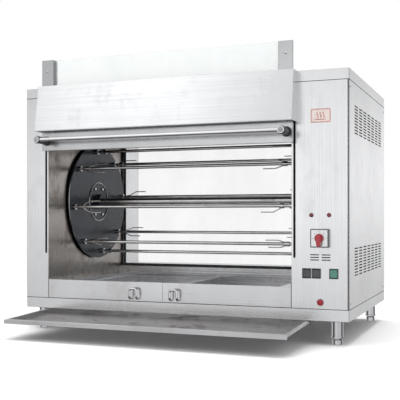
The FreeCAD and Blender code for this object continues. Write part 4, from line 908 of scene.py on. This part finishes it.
def makeRearHem():
    # the rolled edge of the opening in the rear frame
    look = dict(narrower=0.024, tall=0.600, up=0.433, over=0.003, corner=0.004, sunk=0.0006,
                radius=0.0018, steps=8)
    middle = (openLeft + openRight) / 2
    wide = openRight - openLeft - look["narrower"]
    path = roundedPath(wide + look["over"], look["tall"] + look["over"], look["corner"])
    hem = [(middle + across, rearY - look["sunk"], baseZ + look["up"] + up) for across, up in path]
    mesh = bmesh.new()
    tube(mesh, hem, look["radius"], look["steps"], True)
    piece("rearWindowHem", mesh, "casingSteel", "root")


for makeTrim in (makeScrews, makeSeams, makeVents, makeLampRings, makeBadgeMotif, makeSwitchTrim,
                 makeKnobGrip, makeHoodHem, makeSashTrim, makeLegNuts, makeHandleTrim, makeCables,
                 makeRotorTrim, makePanTrim, makeTrayTrim, makeRearHem):
    makeTrim()
print("trim made")


def makeStage():
    # a pale floor that fades out round the oven
    look = dict(size=7.0, solid=1.0, gone=2.3, light=(0.90, 0.90, 0.90), dark=(0.88, 0.88, 0.88),
                rough=0.9, gloss=0.1)
    half = look["size"] / 2
    made = bpy.data.meshes.new("floor")
    corners = [(-half, -half, 0), (half, -half, 0), (half, half, 0), (-half, half, 0)]
    made.from_pydata(corners, [], [(0, 1, 2, 3)])
    floor = bpy.data.objects.new("floor", made)
    bpy.context.scene.collection.objects.link(floor)
    board = Board(bpy.data.materials.new("floorPaint"))
    cloud = board.noise((2, 2, 2), 3)
    spot = board.add("ShaderNodeTexCoord", out="Object")
    away = board.add("ShaderNodeVectorMath", {"operation": "LENGTH"}, {0: spot}, "Value")
    board.feed(board.shader, {
        "Base Color": tinted(board, cloud, look),
        "Roughness": look["rough"],
        "Specular IOR Level": look["gloss"],
        "Alpha": board.spread(away, 1, 0, look["solid"], look["gone"]),
    })
    made.materials.append(board.owner)
    floor.visible_glossy = False


def makeLights():
    # the steel mirrors the sky alone; these light the floor and the plastics
    lights = [
        dict(name="keyLight", place=(-2.6, -3.0, 3.4), aim=(0, 0, 0.4), size=2.6, power=40),
        dict(name="fillLight", place=(3.6, -2.2, 2.0), aim=(0, 0, 0.5), size=2.4, power=20),
        dict(name="topLight", place=(0.0, 0.2, 3.6), aim=(0, 0, 0.4), size=3.0, power=150),
    ]
    for look in lights:
        lamp = bpy.data.lights.new(look["name"], "AREA")
        lamp.shape = "SQUARE"
        lamp.size = look["size"]
        lamp.energy = look["power"]
        thing = bpy.data.objects.new(look["name"], lamp)
        thing.location = look["place"]
        heading = Vector(look["aim"]) - Vector(look["place"])
        thing.rotation_euler = heading.to_track_quat("-Z", "Y").to_euler()
        thing.visible_glossy = False
        bpy.context.scene.collection.objects.link(thing)


def makeSky():
    # seen directly the backdrop is white; the steel mirrors a bright horizon, a soft front lamp,
    # a front window and dark sides
    look = dict(
        lamp=(-0.4455, -0.7716, 0.454), lampPower=1.6, lampEdge=(0.975, 0.996),
        window=(-0.2077, -0.9768, 0.052), windowPower=0.32, windowEdge=(0.92, 0.99),
        sides=((-0.93, -0.367, 0.0), (0.93, 0.367, 0.0)), darken=0.85, sideEdge=(0.87, 0.95),
        blue=1.008, backdrop=(1.0, 1.0, 1.0),
        # brightness by height, from straight down to straight up
        levels=[(-1.0, 0.10), (-0.7, 0.18), (-0.4, 0.56), (-0.15, 0.62), (-0.06, 0.74), (0.0, 0.98),
                (0.05, 1.08), (0.11, 0.94), (0.19, 0.66), (0.35, 0.60), (0.48, 0.62), (0.7, 0.95),
                (1.0, 1.05)],
    )
    world = bpy.data.worlds.new("studio")
    bpy.context.scene.world = world
    board = Board(world, "Background")
    heading = board.add("ShaderNodeTexCoord", out="Generated")
    rise = board.add("ShaderNodeSeparateXYZ", None, {"Vector": heading}, 2)
    stops = [(place * 0.5 + 0.5, rgba(level, level, level * look["blue"]))
             for place, level in look["levels"]]
    sky = board.add("ShaderNodeValToRGB", {"stops": stops}, {"Fac": rise * 0.5 + 0.5})
    lamp = board.spread(board.toward(heading, look["lamp"]),
                        0, look["lampPower"], *look["lampEdge"])
    window = board.spread(board.toward(heading, look["window"]),
                          0, look["windowPower"], *look["windowEdge"])
    level = 1 + lamp + window
    for side in look["sides"]:
        dark = board.spread(board.toward(heading, side), 0, look["darken"], *look["sideEdge"])
        level = level * (1 - dark)
    direct = board.add("ShaderNodeLightPath", out="Is Camera Ray")
    board.feed(board.shader, {"Color": board.blend(direct, sky, rgba(*look["backdrop"])),
                              "Strength": direct + (1 - direct) * level})
    bpy.context.scene.view_settings.view_transform = "Standard"


def makeCamera():
    look = dict(lens=71.44, sensor=36, place=(1.0938, -2.5330, 0.3370), turn=21.56, shift=0.0423,
                near=0.01)
    camera = bpy.data.cameras.new("camera")
    camera.lens = look["lens"]
    camera.sensor_width = look["sensor"]
    camera.shift_y = look["shift"]
    camera.clip_start = look["near"]
    thing = bpy.data.objects.new("camera", camera)
    across, back, up = look["place"]
    thing.location = (across, frontY + back, baseZ + up)
    thing.rotation_euler = (pi / 2, 0, radians(look["turn"]))
    bpy.context.scene.collection.objects.link(thing)
    bpy.context.scene.camera = thing


makeStage()
makeLights()
makeSky()
makeCamera()
print("stage, lights and camera made")
